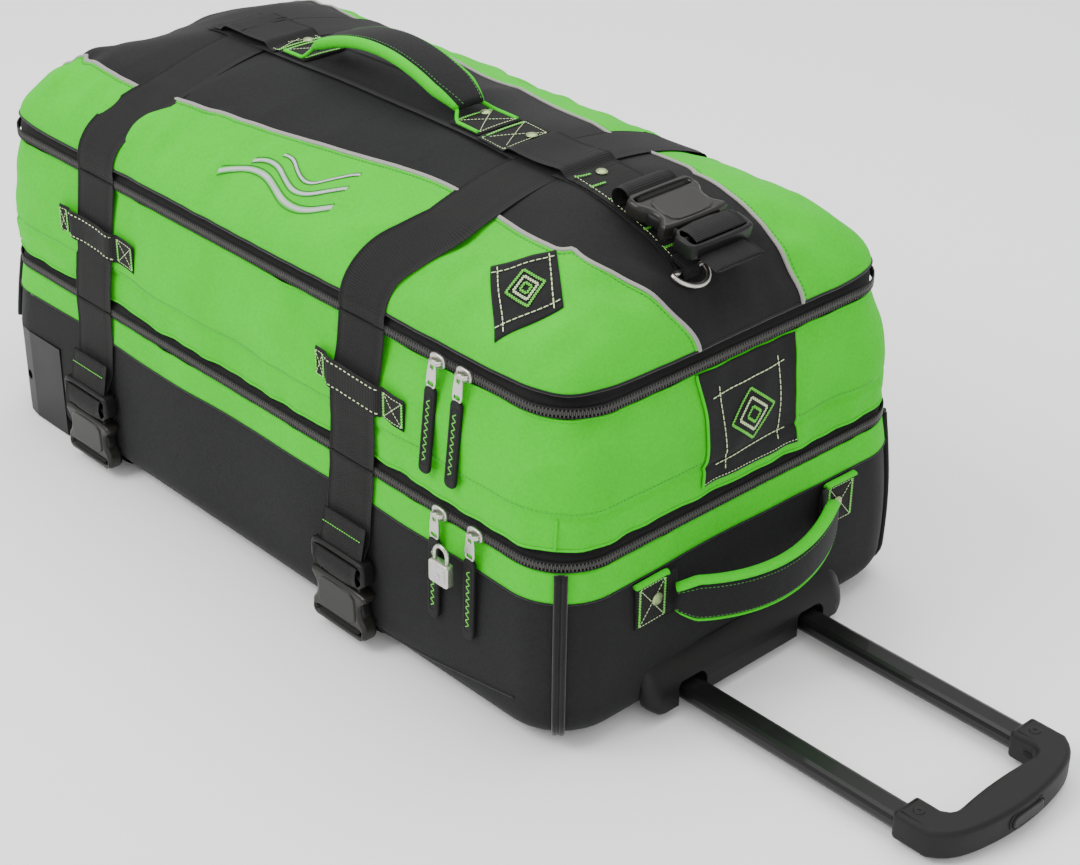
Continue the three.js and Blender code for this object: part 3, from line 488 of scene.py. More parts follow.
def thread(name, colour, rough=0.55):
    """Sewing thread, lighter on its lay and darker in its twist."""
    made = Finish(name)
    twist = made.noise(1500, 1.0)
    made.set(Base_Color=made.mix(twist, rgba(colour, 0.7), rgba(colour, 1.2)), Roughness=rough)
    made.set(Sheen_Weight=0.2)
    made.bump(twist, 0.1 * MM, 0.5)
    return made.material


FINISHES = {}


def make_finishes(colours):
    """Every finish on the bag, from the panel's colours."""
    green = tuple(colours.green)
    black = tuple(colours.black)
    FINISHES.update(
        green=woven("green_cloth", green, deep=0.70, sheen=0.03),
        green_edge=woven("green_edging", green, thread=1.0 * MM, deep=0.8, sheen=0.03),
        black=woven("black_cloth", black, deep=0.55, sheen=0.04),
        lining=woven("dark_lining", (0.022, 0.022, 0.023), thread=1.2 * MM, deep=0.7, sheen=0.1),
        tape=woven("zip_tape", (0.008, 0.008, 0.008), thread=1.0 * MM, deep=0.6, sheen=0.1),
        web=ribbed("black_webbing", tuple(colours.webbing)),
        coil=moulded("zip_coil", (0.050, 0.049, 0.046), 0.3, 1200),
        plastic=moulded("moulded_black", tuple(colours.plastic), 0.4),
        # Buckle sockets: the black moulded plastic given a lighter grey colour. The extra lightness is
        # painted satin sheen; the roughness and coat are the real satin finish.
        satin=moulded("satin_grey_plastic", tuple(colours.satin), 0.34, 500, 0.015 * MM, 0.15),
        grip=moulded("textured_grip", (0.010, 0.010, 0.010), 0.55, 700, 0.12 * MM),
        tube=moulded("gloss_black_tube", (0.006, 0.006, 0.006), 0.34, 300, 0.004 * MM, 0.15),
        aluminium=metal("mill_aluminium", (0.62, 0.62, 0.63), 0.35, (900, 30, 30)),
        steel=metal("steel_pin", (0.6, 0.6, 0.6), 0.3),
        nickel=metal("nickel_plate", tuple(colours.nickel), 0.24),
        rubber=moulded("moulded_rubber", (0.008, 0.008, 0.008), 0.62, 800, 0.08 * MM),
        wheel_core=moulded("wheel_core", (0.035, 0.035, 0.035), 0.45),
        board=woven("board_cover", (0.014, 0.014, 0.014), thread=1.2 * MM),
        pale=thread("pale_thread", (0.62, 0.78, 0.42)),
        lime=thread("green_thread", (0.09, 0.62, 0.01)),
        deep=thread("dark_green_thread", (0.03, 0.22, 0.02)),
        silver=thread("silver_thread", (0.62, 0.64, 0.66), 0.4),
        grey_piping=thread("grey_piping", (0.27, 0.265, 0.235), 0.5),
        dark_piping=woven("black_piping", (0.008, 0.008, 0.008), thread=1.0 * MM),
        rivet=metal("pale_rivet", (0.36, 0.46, 0.22), 0.35),
    )


# ---------------------------------------------------------------- mesh making

def finish_piece(name, mesh, finish, body, slot, replaces=(), sharp=None):
    """A mesh as a named piece of the bag, riding on its body."""
    if sharp is not None:
        mesh.shade_smooth()
        mesh.set_sharp_from_angle(angle=math.radians(sharp))
    else:
        mesh.shade_smooth()
    mesh.materials.clear()
    mesh.materials.append(FINISHES[finish])
    piece = bpy.data.objects.new(name, mesh)
    bpy.context.scene.collection.objects.link(piece)
    if body:
        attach(piece, body)
    if replaces:
        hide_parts(*replaces)
    return piece


def new_mesh(name, points, faces, corner_uvs=None):
    mesh = bpy.data.meshes.new(name)
    mesh.from_pydata(np.asarray(points).reshape(-1, 3).tolist(), [], [tuple(f) for f in faces])
    if corner_uvs is not None:
        layer = mesh.uv_layers.new(name="weave")
        layer.data.foreach_set("uv", np.asarray(corner_uvs, dtype=np.float32).ravel())
    mesh.update()
    return mesh


def run_lengths(line):
    return np.concatenate([[0], np.cumsum(np.linalg.norm(np.diff(line, axis=0), axis=1))])


def quad_sheet(rows, cols, wrap):
    """Index quads of a grid, and the row and column of each of their corners."""
    last = cols if wrap else cols - 1
    i, j = np.meshgrid(np.arange(rows - 1), np.arange(last), indexing="ij")
    i, j = i.ravel(), j.ravel()
    corner_i = np.stack([i, i, i + 1, i + 1], axis=1)
    corner_j = np.stack([j, j + 1, j + 1, j], axis=1)
    return corner_i * cols + corner_j % cols, corner_i, corner_j


def cloth(name, rows, finish, body, slot, wrap=False, thick=1.4 * MM, drop=None, lined=False, **more):
    """A sewn panel from a grid of outer points, given a thickness on its inner side."""
    rows = np.asarray(rows, float)
    r, c = rows.shape[:2]
    inner = rows - normals_of(rows, wrap) * thick
    quads, ci, cj = quad_sheet(r, c, wrap)
    middle = rows[r // 2]
    u = run_lengths(np.vstack([middle, middle[:1]]) if wrap else middle)
    v = run_lengths(rows[:, c // 3])
    uvs = np.stack([u[cj], v[ci]], axis=2)
    keep = np.ones(len(quads), bool) if drop is None else ~drop(rows.reshape(-1, 3)[quads].mean(axis=1))
    quads, uvs = quads[keep], uvs[keep]
    size = r * c
    faces = [quads, quads[:, ::-1] + size]
    coords = [uvs, uvs[:, ::-1]]
    rims = []
    for row, flip in ((0, False), (r - 1, True)):
        j = np.arange(c if wrap else c - 1)
        edge = np.stack([row * c + j, row * c + (j + 1) % c], axis=1)
        rim = np.stack([edge[:, 0], edge[:, 0] + size, edge[:, 1] + size, edge[:, 1]], axis=1)
        rims.append(rim if not flip else rim[:, ::-1])
    if not wrap:
        for col, flip in ((0, True), (c - 1, False)):
            i = np.arange(r - 1)
            edge = np.stack([i * c + col, (i + 1) * c + col], axis=1)
            rim = np.stack([edge[:, 0], edge[:, 0] + size, edge[:, 1] + size, edge[:, 1]], axis=1)
            rims.append(rim if not flip else rim[:, ::-1])
    rims = np.concatenate(rims)
    faces = np.concatenate(faces + [rims])
    coords = np.concatenate(coords + [np.zeros((len(rims), 4, 2))])
    mesh = new_mesh(name, np.concatenate([rows.reshape(-1, 3), inner.reshape(-1, 3)]), faces, coords)
    piece = finish_piece(name, mesh, finish, body, slot, **more)
    if lined:
        mesh.materials.append(FINISHES["lining"])
        side = np.zeros(len(faces), int)
        side[len(quads):2 * len(quads)] = 1
        mesh.polygons.foreach_set("material_index", side)
    return piece


def loft(name, loops, finish, body, slot, closed=False, **more):
    """Closed sections joined in order, capped at both ends unless they come back to the first."""
    loops = np.asarray(loops, float)
    n, m = loops.shape[:2]
    u = run_lengths(loops.mean(axis=1))
    v = run_lengths(np.vstack([loops[n // 2], loops[n // 2][:1]]))
    quads, ci, cj = quad_sheet(n, m, True)
    uvs = np.stack([u[ci], v[cj]], axis=2)
    faces = [tuple(q) for q in quads]
    coords = uvs.reshape(-1, 2)
    if closed:
        tail = np.arange(m)
        seam = np.stack([(n - 1) * m + tail, (n - 1) * m + (tail + 1) % m, (tail + 1) % m, tail], axis=1)
        faces += [tuple(q) for q in seam]
        coords = np.vstack([coords, np.zeros((len(seam) * 4, 2))])
    else:
        faces += [tuple(range(m))[::-1], tuple(range((n - 1) * m, n * m))]
        coords = np.vstack([coords, np.zeros((2 * m, 2))])
    mesh = new_mesh(name, loops, faces, coords)
    return finish_piece(name, mesh, finish, body, slot, **more)


def frames_along(path, ups):
    """Unit tangents, sides and ups at every point of a path."""
    path = np.asarray(path, float)
    tangent = np.gradient(path, axis=0)
    tangent /= np.maximum(np.linalg.norm(tangent, axis=1, keepdims=True), 1e-12)
    up = np.broadcast_to(np.asarray(ups, float), path.shape)
    side = np.cross(tangent, up)
    side /= np.maximum(np.linalg.norm(side, axis=1, keepdims=True), 1e-12)
    return tangent, side, np.cross(side, tangent)


def section_sweep(path, ups, section):
    """A section of [side, up] places carried along a path."""
    _, side, up = frames_along(path, ups)
    section = np.asarray(section, float)
    if section.ndim == 2:
        section = np.broadcast_to(section, (len(path), *section.shape))
    return (np.asarray(path)[:, None, :] + side[:, None, :] * section[..., :1]
            + up[:, None, :] * section[..., 1:])


def tube(name, path, ups, radius, finish, body, slot, sides=10, flat=1.0, closed=False, **more):
    """A round or flattened cord of cloth or wire along a path."""
    angle = np.linspace(0, 2 * math.pi, sides, endpoint=False)
    ring = np.stack([np.cos(angle), flat * np.sin(angle)], axis=1)
    ring = ring * radius if np.isscalar(radius) else ring * np.asarray(radius)[:, None, None]
    loops = section_sweep(path, ups, ring)
    return loft(name, loops, finish, body, slot, closed, **more)


def web_section(half, thick, crown=0.0, count=9):
    """Section of a flat band with soft edges: [side, up] places, seen along the run."""
    across = np.linspace(-1, 1, count)
    lip = 1 - 0.55 * np.abs(across) ** 14
    top = np.stack([across * half, thick * lip + crown * (1 - across ** 2)], axis=1)
    low = np.stack([across[::-1] * half, thick * (1 - lip[::-1]) + crown * (1 - across[::-1] ** 2)], axis=1)
    return np.vstack([top, low])[::-1]


def band(name, path, ups, half, thick, finish, body, slot, crown=0.0, **more):
    """A length of webbing along a path that its inner face follows."""
    loops = section_sweep(path, ups, web_section(half, thick, crown))
    return loft(name, loops, finish, body, slot, **more)


def scatter(name, shape, centres, xs, ys, zs, finish, body, slot, **more):
    """Many copies of one small shape, each turned to its own frame, as one mesh."""
    points, faces = shape
    points = np.asarray(points, float)
    placed = (centres[:, None, :] + points[None, :, 0:1] * xs[:, None, :]
              + points[None, :, 1:2] * ys[:, None, :] + points[None, :, 2:3] * zs[:, None, :])
    every = [tuple(k * len(points) + i for i in f) for k in range(len(centres)) for f in faces]
    mesh = new_mesh(name, placed, every)
    return finish_piece(name, mesh, finish, body, slot, **more)


def capsule(length, radius, flat=0.7, sides=6):
    """A short stitch or tooth lying along x."""
    points, faces = [], []
    for x, share in ((-0.5, 0.35), (-0.36, 0.9), (0.36, 0.9), (0.5, 0.35)):
        for k in range(sides):
            angle = 2 * math.pi * k / sides
            points.append((x * length, radius * share * math.cos(angle),
                           radius * flat * share * math.sin(angle)))
    for k in range(3):
        for i in range(sides):
            j = (i + 1) % sides
            faces.append((k * sides + i, k * sides + j, (k + 1) * sides + j, (k + 1) * sides + i))
    faces.append(tuple(range(sides))[::-1])
    faces.append(tuple(range(3 * sides, 4 * sides)))
    return points, faces


def spaced(path, ups, pitch, start=0.5):
    """Points, tangents and ups at even steps along a path."""
    path = np.asarray(path, float)
    ups = np.broadcast_to(np.asarray(ups, float), path.shape)
    length = run_lengths(path)
    count = max(int(length[-1] / pitch), 1)
    at = (np.arange(count) + start) * length[-1] / count
    pick = lambda data: np.stack([np.interp(at, length, data[:, i]) for i in range(3)], axis=1)
    tangent, _, _ = frames_along(path, ups)
    centre, along, up = pick(path), pick(tangent), pick(ups)
    along /= np.maximum(np.linalg.norm(along, axis=1, keepdims=True), 1e-12)
    side = np.cross(up, along)
    side /= np.maximum(np.linalg.norm(side, axis=1, keepdims=True), 1e-12)
    return centre, along, side, np.cross(along, side)


def stitches(name, lines, finish, body, slot, pitch=3.6 * MM, fill=0.68, radius=0.42 * MM, **more):
    """Rows of stitches along lines, each line a pair of points and ups."""
    parts = [spaced(path, ups, pitch) for path, ups in lines]
    centre, along, side, up = (np.concatenate(group) for group in zip(*parts))
    return scatter(name, capsule(pitch * fill, radius), centre, along, side, up, finish, body, slot, **more)


def zigzag(name, lines, wide, finish, body, slot, pitch=1.1 * MM, radius=0.42 * MM, **more):
    """Dense bars of satin stitch: short threads laid across each line."""
    parts = [spaced(path, ups, pitch) for path, ups in lines]
    centre, along, side, up = (np.concatenate(group) for group in zip(*parts))
    slant = np.where(np.arange(len(centre)) % 2 == 0, 0.32, -0.32)[:, None]
    lay = side + along * slant
    lay /= np.linalg.norm(lay, axis=1, keepdims=True)
    return scatter(name, capsule(wide, radius), centre, lay, np.cross(up, lay), up, finish, body, slot,
                   **more)


def line_on(surface, start, end, lift, count=14):
    """A straight stitch line between two places of a surface, with its ups."""
    t = np.linspace(0, 1, count)
    point, normal = surface(start[0] + (end[0] - start[0]) * t, start[1] + (end[1] - start[1]) * t, lift)
    return point, normal


def plate(name, outlines, thick, bevel, place, finish, body, slot, steps=3, **more):
    """A flat part cut to its outlines, the first outside and the rest holes, with rounded edges."""
    curve = bpy.data.curves.new(name, "CURVE")
    curve.dimensions = "2D"
    curve.fill_mode = "BOTH"
    curve.extrude = thick / 2 - bevel
    curve.bevel_depth = bevel
    curve.bevel_resolution = steps
    curve.offset = -bevel
    for outline in outlines:
        spline = curve.splines.new("POLY")
        spline.points.add(len(outline) - 1)
        for point, (x, y) in zip(spline.points, outline):
            point.co = (x, y, 0, 1)
        spline.use_cyclic_u = True
    holder = bpy.data.objects.new(name + "_outline", curve)
    bpy.context.scene.collection.objects.link(holder)
    mesh = bpy.data.meshes.new_from_object(holder.evaluated_get(bpy.context.evaluated_depsgraph_get()))
    bpy.data.objects.remove(holder)
    bpy.data.curves.remove(curve)
    mesh.name = name
    mesh.transform(place)
    return finish_piece(name, mesh, finish, body, slot, sharp=38, **more)


def rounded(half_u, half_v, r, centre=(0, 0), steps=6):
    """A rounded rectangle's outline."""
    points = []
    for turn, (su, sv) in enumerate(((1, 1), (-1, 1), (-1, -1), (1, -1))):
        for k in range(steps + 1):
            angle = (turn + k / steps) * math.pi / 2
            points.append((centre[0] + su * (half_u - r) + r * math.cos(angle),
                           centre[1] + sv * (half_v - r) + r * math.sin(angle)))
    return points


def softened(outline, rounds=2):
    """A polygon with its corners cut to curves."""
    points = np.asarray(outline, float)
    for _ in range(rounds):
        after = np.roll(points, -1, axis=0)
        points = np.stack([points * 0.75 + after * 0.25, points * 0.25 + after * 0.75],
                          axis=1).reshape(-1, 2)
    return points.tolist()


def basis(origin, u, v):
    """A placing matrix whose first two axes are u and v."""
    u = Vector(u).normalized()
    w = u.cross(Vector(v)).normalized()
    return Matrix.Translation(Vector(origin)) @ Matrix((u, w.cross(u), w)).transposed().to_4x4()


def turned(profile, centre, axis, side, name, finish, body, slot, count=48, sharp=35, **more):
    """A round part from a profile of [radius, along] places, closed on itself."""
    axis = np.asarray(axis, float)
    side = np.asarray(side, float)
    third = np.cross(axis, side)
    angle = np.linspace(0, 2 * math.pi, count, endpoint=False)
    spin = np.cos(angle)[:, None] * side + np.sin(angle)[:, None] * third
    profile = np.asarray(profile, float)
    loops = (np.asarray(centre) + spin[:, None, :] * profile[None, :, :1] + axis * profile[None, :, 1:])
    return loft(name, loops, finish, body, slot, True, sharp=sharp, **more)


def retouch(node, finish, bevel=0.0):
    """A better finish, and softened edges where asked, on a piece that the frame holds."""
    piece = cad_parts[node]
    for k in range(len(piece.material_slots)):
        piece.material_slots[k].material = FINISHES[finish]
    if bevel:
        soft = piece.modifiers.new("soft_edges", "BEVEL")
        soft.width = bevel
        soft.segments = 2
        soft.limit_method = "ANGLE"
        soft.angle_limit = math.radians(40)


# ---------------------------------------------------------------- cloth pieces

def wall_rows(levels, size_at, relief=None, shift_at=None):
    """Rings of outer points of a wall at its heights."""
    rows = []
    for z in levels:
        a, b = size_at(z)[:2]
        inset = max(float(BODY_A - a), 0.0)
        ring = loop_plan(a, b, CORNER_R + inset * 0.4)
        if shift_at is not None:
            ring = ring + [shift_at(z), 0]
        rows.append(np.column_stack([ring, np.full(len(ring), z)]))
    rows = np.array(rows)
    if relief is None:
        return rows
    normal = normals_of(rows, True)
    return rows + normal * relief(rows)[..., None]


def wheel_gap(centres):
    """True where the lower cloth is cut away for the wheel housings and the trolley tubes."""
    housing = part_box("wheel_housing_right")
    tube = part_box("guide_tube_right")
    x, y, z = centres[:, 0], np.abs(centres[:, 1]), centres[:, 2]
    wheels = (x < housing[1][0] - 0.004) & (y > -housing[1][1] + 0.004) & (z < housing[1][2] - 0.004)
    tubes = (x > 0.30) & (np.abs(y + tube[0][1] / 2 + tube[1][1] / 2) < 0.014) & (z < 0.026)
    return wheels | tubes


def make_lower_cloth():
    foot = FLOOR_Z + BOTTOM_R * (1 - np.cos(np.linspace(0.0, math.pi / 2, 8)))
    levels = np.concatenate([foot, np.linspace(FLOOR_Z + BOTTOM_R, BAND_LOW + 0.002, 26)[1:]])
    rows = wall_rows(levels, lower_size, lower_relief)
    middle = rows[0] * [0, 0, 1]
    floor = [rows[0] + (middle - rows[0]) * k for k in (0.97, 0.7, 0.45, 0.25, 0.12, 0.05)]
    rows = np.concatenate([np.array(floor), rows])
    cloth("lower_compartment_cloth", rows, "black", "base", "black_cloth", wrap=True, thick=2.2 * MM,
          drop=wheel_gap, lined=True, replaces=["lower_shell"])
    levels = np.linspace(BAND_LOW - 0.0005, BAND_TOP + 0.0005, 9)

    def relief(p):
        top = smooth((p[..., 2] - BAND_LOW) / (BAND_TOP - BAND_LOW))
        gather = 0.7 * MM * waves(p, 41, 0.02, (1, 1, 0.1)) * top
        return lower_relief(p) * (1 - 0.4 * top) + 1.0 * MM + gather + 0.4 * MM * waves(p, 42, 0.07)

    band_rows = wall_rows(levels, lower_size, relief)
    cloth("green_edge_band", band_rows, "green", "base", "green_cloth", wrap=True, thick=1.4 * MM,
          lined=True, replaces=["lower_band"])
    # A thin dark cord along a crease low on the near side: painted crease shadow, not a sewn seam.
    crease = line_on(on_side, (0.150, 0.011), (0.309, 0.036), 0.2 * MM, 60)
    tube("low_side_crease_shadow_cord", crease[0], crease[1], 0.8 * MM, "dark_piping", "base", "black_cloth", sides=6)
    seam = band_rows[0]
    seam = np.vstack([seam, seam[:1]])
    tube("band_seam_piping", seam, (0, 0, 1), 0.7 * MM, "dark_piping", "base", "black_cloth", sides=6)


def corner_line(size_at, relief, z0, z1, sx, sy, spread, lift, count=30):
    """A line up a corner of the walls, off to one side of the corner's middle by an angle."""
    angle = math.radians(45 + spread)
    z = np.linspace(z0, z1, count)
    points, ups = [], []
    for level in z:
        got = size_at(level)
        shift = got[2] if len(got) > 2 else 0
        way = np.array([sx * math.cos(angle), sy * math.sin(angle), 0])
        base = np.array([sx * (got[0] - CORNER_R) + shift, sy * (got[1] - CORNER_R), level]) + way * CORNER_R
        points.append(base + way * (relief(base[None])[0] + lift))
        ups.append(way)
    return np.array(points), np.array(ups)


def make_corner_piping():
    """Double piping down the lower compartment's corners and single seams up the middle section's."""
    for mark, sx, sy in (("front_right", 1, -1), ("front_left", 1, 1), ("rear_right", -1, -1),
                         ("rear_left", -1, 1)):
        low = 0.086 if sx < 0 else 0.012
        for k, spread in enumerate((-3.3, 0, 3.3)):
            path, ups = corner_line(lower_size, lower_relief, low, BAND_TOP, sx, sy, spread,
                                    1.6 * MM if spread else 0.4 * MM)
            tube(f"corner_piping_{mark}_{k}", path, ups, 2.2 * MM, "dark_piping", "base", "black_cloth",
                 sides=10)
        path, ups = corner_line(middle_size, middle_relief, MIDDLE_LOW, 0.181, sx, sy, 6, 0.1 * MM)
        tube(f"corner_fold_{mark}", path, ups, 0.9 * MM, "green_edge", "mid", "green_cloth", sides=6)


def make_middle_cloth():
    levels = np.linspace(MIDDLE_LOW - 0.001, MIDDLE_TOP + 0.001, 40)
    rows = wall_rows(levels, middle_size, middle_relief, lambda z: middle_size(z)[2])
    cloth("middle_section_cloth", rows, "green", "mid", "green_cloth", wrap=True, thick=1.6 * MM,
          lined=True, replaces=["middle_gusset"])
    for name, row in (("low", rows[0]), ("top", rows[-1])):
        edge = np.vstack([row, row[:1]])
        tube(f"middle_hem_{name}", edge, (0, 0, 1), 1.1 * MM, "green_edge", "mid", "green_cloth", sides=6)
    z = 0.1862
    lines = [line_on(on_side, (-0.305, z), (0.305, z), 0.3 * MM, 240)]
    lines.append(line_on(on_front, (-0.135, z), (0.135, z), 0.3 * MM, 90))
    for sx, sy in ((1, -1), (-1, -1)):
        turns = [corner_line(middle_size, middle_relief, z, z, sx, sy, spread, 0.3 * MM, 1)
                 for spread in range(-44, 45, 8)]
        lines.append((np.concatenate([t[0] for t in turns]), np.concatenate([t[1] for t in turns])))
    stitches("middle_topstitch", lines, "deep", "mid", "green_cloth", 3.4 * MM, 0.62, 0.34 * MM)


def near_edge(x):
    """Where the lid's black panel meets its near green panel."""
    knots = [-0.37, -0.32, -0.24, -0.16, -0.08, 0.0, 0.06, 0.11, 0.15, 0.19, 0.225, 0.25, 0.28, 0.31, 0.34,
             0.37]
    ys = [-0.106, -0.111, -0.118, -0.113, -0.105, -0.095, -0.087, -0.081, -0.082, -0.088, -0.093, -0.091,
          -0.078, -0.061, -0.041, -0.034]
    return np.interp(x, knots, ys)


def far_edge(x):
    """Where the lid's black panel meets its far green panel."""
    knots = [-0.37, -0.25, -0.12, 0.0, 0.07, 0.14, 0.20, 0.28, 0.37]
    return np.polyval(np.polyfit(knots, [0.116, 0.110, 0.096, 0.080, 0.072, 0.066, 0.064, 0.062, 0.062], 4),
                      x)


def seam_places(p, edge, side):
    """Run-on places across the lid where a seam given as y over x lies."""
    q = np.linspace(0, side * Q_END, 500)
    found = []
    for place in p:
        point = lid_place(np.full_like(q, place), q)[0]
        past = side * (point[:, 1] - edge(point[:, 0])) > 0
        found.append(q[np.argmax(past)] if past.any() else side * Q_END)
    steady = np.pad(found, 6, mode="edge")
    return np.convolve(steady, np.ones(13) / 13, mode="valid")


def make_lid_cloth():
    p = np.linspace(-P_END, P_END, 250)
    near = seam_places(p, near_edge, -1)
    far = seam_places(p, far_edge, 1)
    bounds = {"near_lid_panel": (np.full_like(p, -Q_END), near, 54, "green"),
              "centre_lid_panel": (near, far, 80, "black"),
              "far_lid_panel": (far, np.full_like(p, Q_END), 60, "green")}
    for name, (low, high, count, finish) in bounds.items():
        t = np.linspace(0, 1, count)[:, None]
        q = low[None, :] + (high - low)[None, :] * t
        rows = lid_grid(np.broadcast_to(p, q.shape), q)[0]
        slot = "green_cloth" if finish == "green" else "black_cloth"
        instead = ["lid_shell"] if finish == "black" else ()
        cloth(name, rows, finish, "lid", slot, thick=1.6 * MM, lined=True, replaces=instead)
    for name, q, into in (("near", near, -1), ("far", far, 1)):
        path, ups = lid_grid(p, q)
        tube(f"{name}_panel_piping", path + ups * 0.5 * MM, ups, 1.9 * MM, "grey_piping", "lid", "webbing",
             sides=8, flat=0.6)
        beside, ups = lid_grid(p, q + into * 4.5 * MM)
        stitches(f"{name}_panel_stitch", [(beside + ups * 0.25 * MM, ups)], "deep", "lid", "green_cloth",
                 3.4 * MM, 0.62, 0.36 * MM)
        fold, ups = lid_grid(p, q + into * 2.6 * MM)
        tube(f"{name}_panel_fold", fold, ups, 1.3 * MM, "green_edge", "lid", "green_cloth", sides=6,
             flat=0.5)
    rim = np.array([lid_grid(np.array([pp]), np.array([qq]))[0][0] for pp, qq in rim_places()])
    rim = np.vstack([rim, rim[:1]])
    tube("lid_hem", rim + [0, 0, 0.2 * MM], (0, 0, 1), 1.1 * MM, "dark_piping", "lid", "webbing", sides=6)


def rim_places(count=120):
    """Run-on places round the lid's rim, anticlockwise."""
    t = np.linspace(-1, 1, count, endpoint=False)
    near = [(P_END * k, -Q_END) for k in t]
    front = [(P_END, Q_END * k) for k in t]
    return near + front + [(-a, -b) for a, b in near] + [(-a, -b) for a, b in front]


# ---------------------------------------------------------------- zips

HINGE_X = (-0.285, 0.275)


def zip_path(a, b, shift, z):
    """The zip's line round three sides, from hinge end to hinge end."""
    ring = loop_plan(a, b, CORNER_R, 300, 150, 40) + [shift, 0]
    far = (ring[:, 1] > b - 1e-4) & (ring[:, 0] > HINGE_X[0]) & (ring[:, 0] < HINGE_X[1])
    first = int(np.argmax(far[::-1]))
    ring = np.roll(ring, first, axis=0)
    keep = ~np.roll(far, first)
    line = ring[keep]
    plan = np.column_stack([line, np.full(len(line), z)])
    out = np.gradient(plan, axis=0)
    out = np.stack([out[:, 1], -out[:, 0], np.zeros(len(out))], axis=1)
    return plan, out / np.linalg.norm(out, axis=1, keepdims=True)


def make_tape(name, z0, z1, a, b, shift, body, node, wave):
    """One side of a zip's tape, tucked under the cloth next to it."""
    levels = np.linspace(z0, z1, 11)

    def relief(p):
        away = np.abs(p[..., 2] - wave) / abs(z1 - z0)
        return -3.4 * MM * smooth((away - 0.26) / 0.26) - 0.3 * MM

    rows = wall_rows(levels, lambda z: (a, b), relief, lambda z: shift)
    cloth(name, rows, "tape", body, "webbing", wrap=True, thick=1.2 * MM, replaces=[node])


def make_teeth(name, a, b, shift, z, body, phase, lean):
    """A row of coil teeth that reach over the zip's middle line."""
    path, out = zip_path(a + 0.5 * MM, b + 0.5 * MM, shift, z + lean * 1.1 * MM)
    centre, along, _, up = spaced(path, out, TOOTH_PITCH, phase)
    tall = np.cross(up, along)
    scatter(name, capsule(TOOTH_LONG, TOOTH_R, 1.0, 5), centre + up * 0.5 * MM, tall, along, up, "coil",
            body, "webbing")
    rail, out = zip_path(a + 0.9 * MM, b + 0.9 * MM, shift, z + lean * 3.4 * MM)
    tube(name + "_cord", rail, out, 0.7 * MM, "tape", body, "webbing", sides=6)


def hinge_strip(name, z0, z1, low_half, high_half):
    """The sewn cloth hinge on the far side, from one section to the next."""
    x = np.linspace(HINGE_X[0] - 0.004, HINGE_X[1] + 0.004, 90)
    t = np.linspace(0, 1, 9)[:, None]
    z = z0 + (z1 - z0) * t + 0 * x
    y = low_half + (high_half - low_half) * t + 0 * x + 1.0 * MM * np.sin(math.pi * t) + 0.4 * MM
    rows = np.stack([np.broadcast_to(x, z.shape), y, z], axis=2)[:, ::-1]
    piece = cloth(name, rows, "black", None, "black_cloth", thick=1.2 * MM)
    y = (low_half + high_half) / 2
    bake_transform(piece)


def make_zips():
    make_tape("lower_zip_tape_below", BAND_TOP - 0.004, LOWER_ZIP, LOWER_A, LOWER_B, 0, "base",
              "lower_zip_base_tape", LOWER_ZIP)
    make_tape("lower_zip_tape_above", LOWER_ZIP + 0.0002, MIDDLE_LOW + 0.003, LOWER_A, LOWER_B, 0, "mid",
              "lower_zip_middle_tape", LOWER_ZIP)
    make_tape("upper_zip_tape_below", MIDDLE_TOP - 0.003, UPPER_ZIP, UPPER_A, UPPER_B, UPPER_SHIFT, "mid",
              "upper_zip_middle_tape", UPPER_ZIP)
    make_tape("upper_zip_tape_above", UPPER_ZIP + 0.0002, LID_RIM + 0.004, UPPER_A, UPPER_B, UPPER_SHIFT,
              "lid", "upper_zip_lid_tape", UPPER_ZIP)
    make_teeth("lower_teeth_below", LOWER_A, LOWER_B, 0, LOWER_ZIP, "base", 0.25, -1)
    make_teeth("lower_teeth_above", LOWER_A, LOWER_B, 0, LOWER_ZIP, "mid", 0.75, 1)
    make_teeth("upper_teeth_below", UPPER_A, UPPER_B, UPPER_SHIFT, UPPER_ZIP, "mid", 0.25, -1)
    make_teeth("upper_teeth_above", UPPER_A, UPPER_B, UPPER_SHIFT, UPPER_ZIP, "lid", 0.75, 1)
    hinge_strip("lower_hinge_cloth", BAND_TOP - 0.002, MIDDLE_LOW + 0.002, LOWER_B, LOWER_B)
    hinge_strip("upper_hinge_cloth", MIDDLE_TOP - 0.002, LID_RIM + 0.002, UPPER_B, UPPER_B)


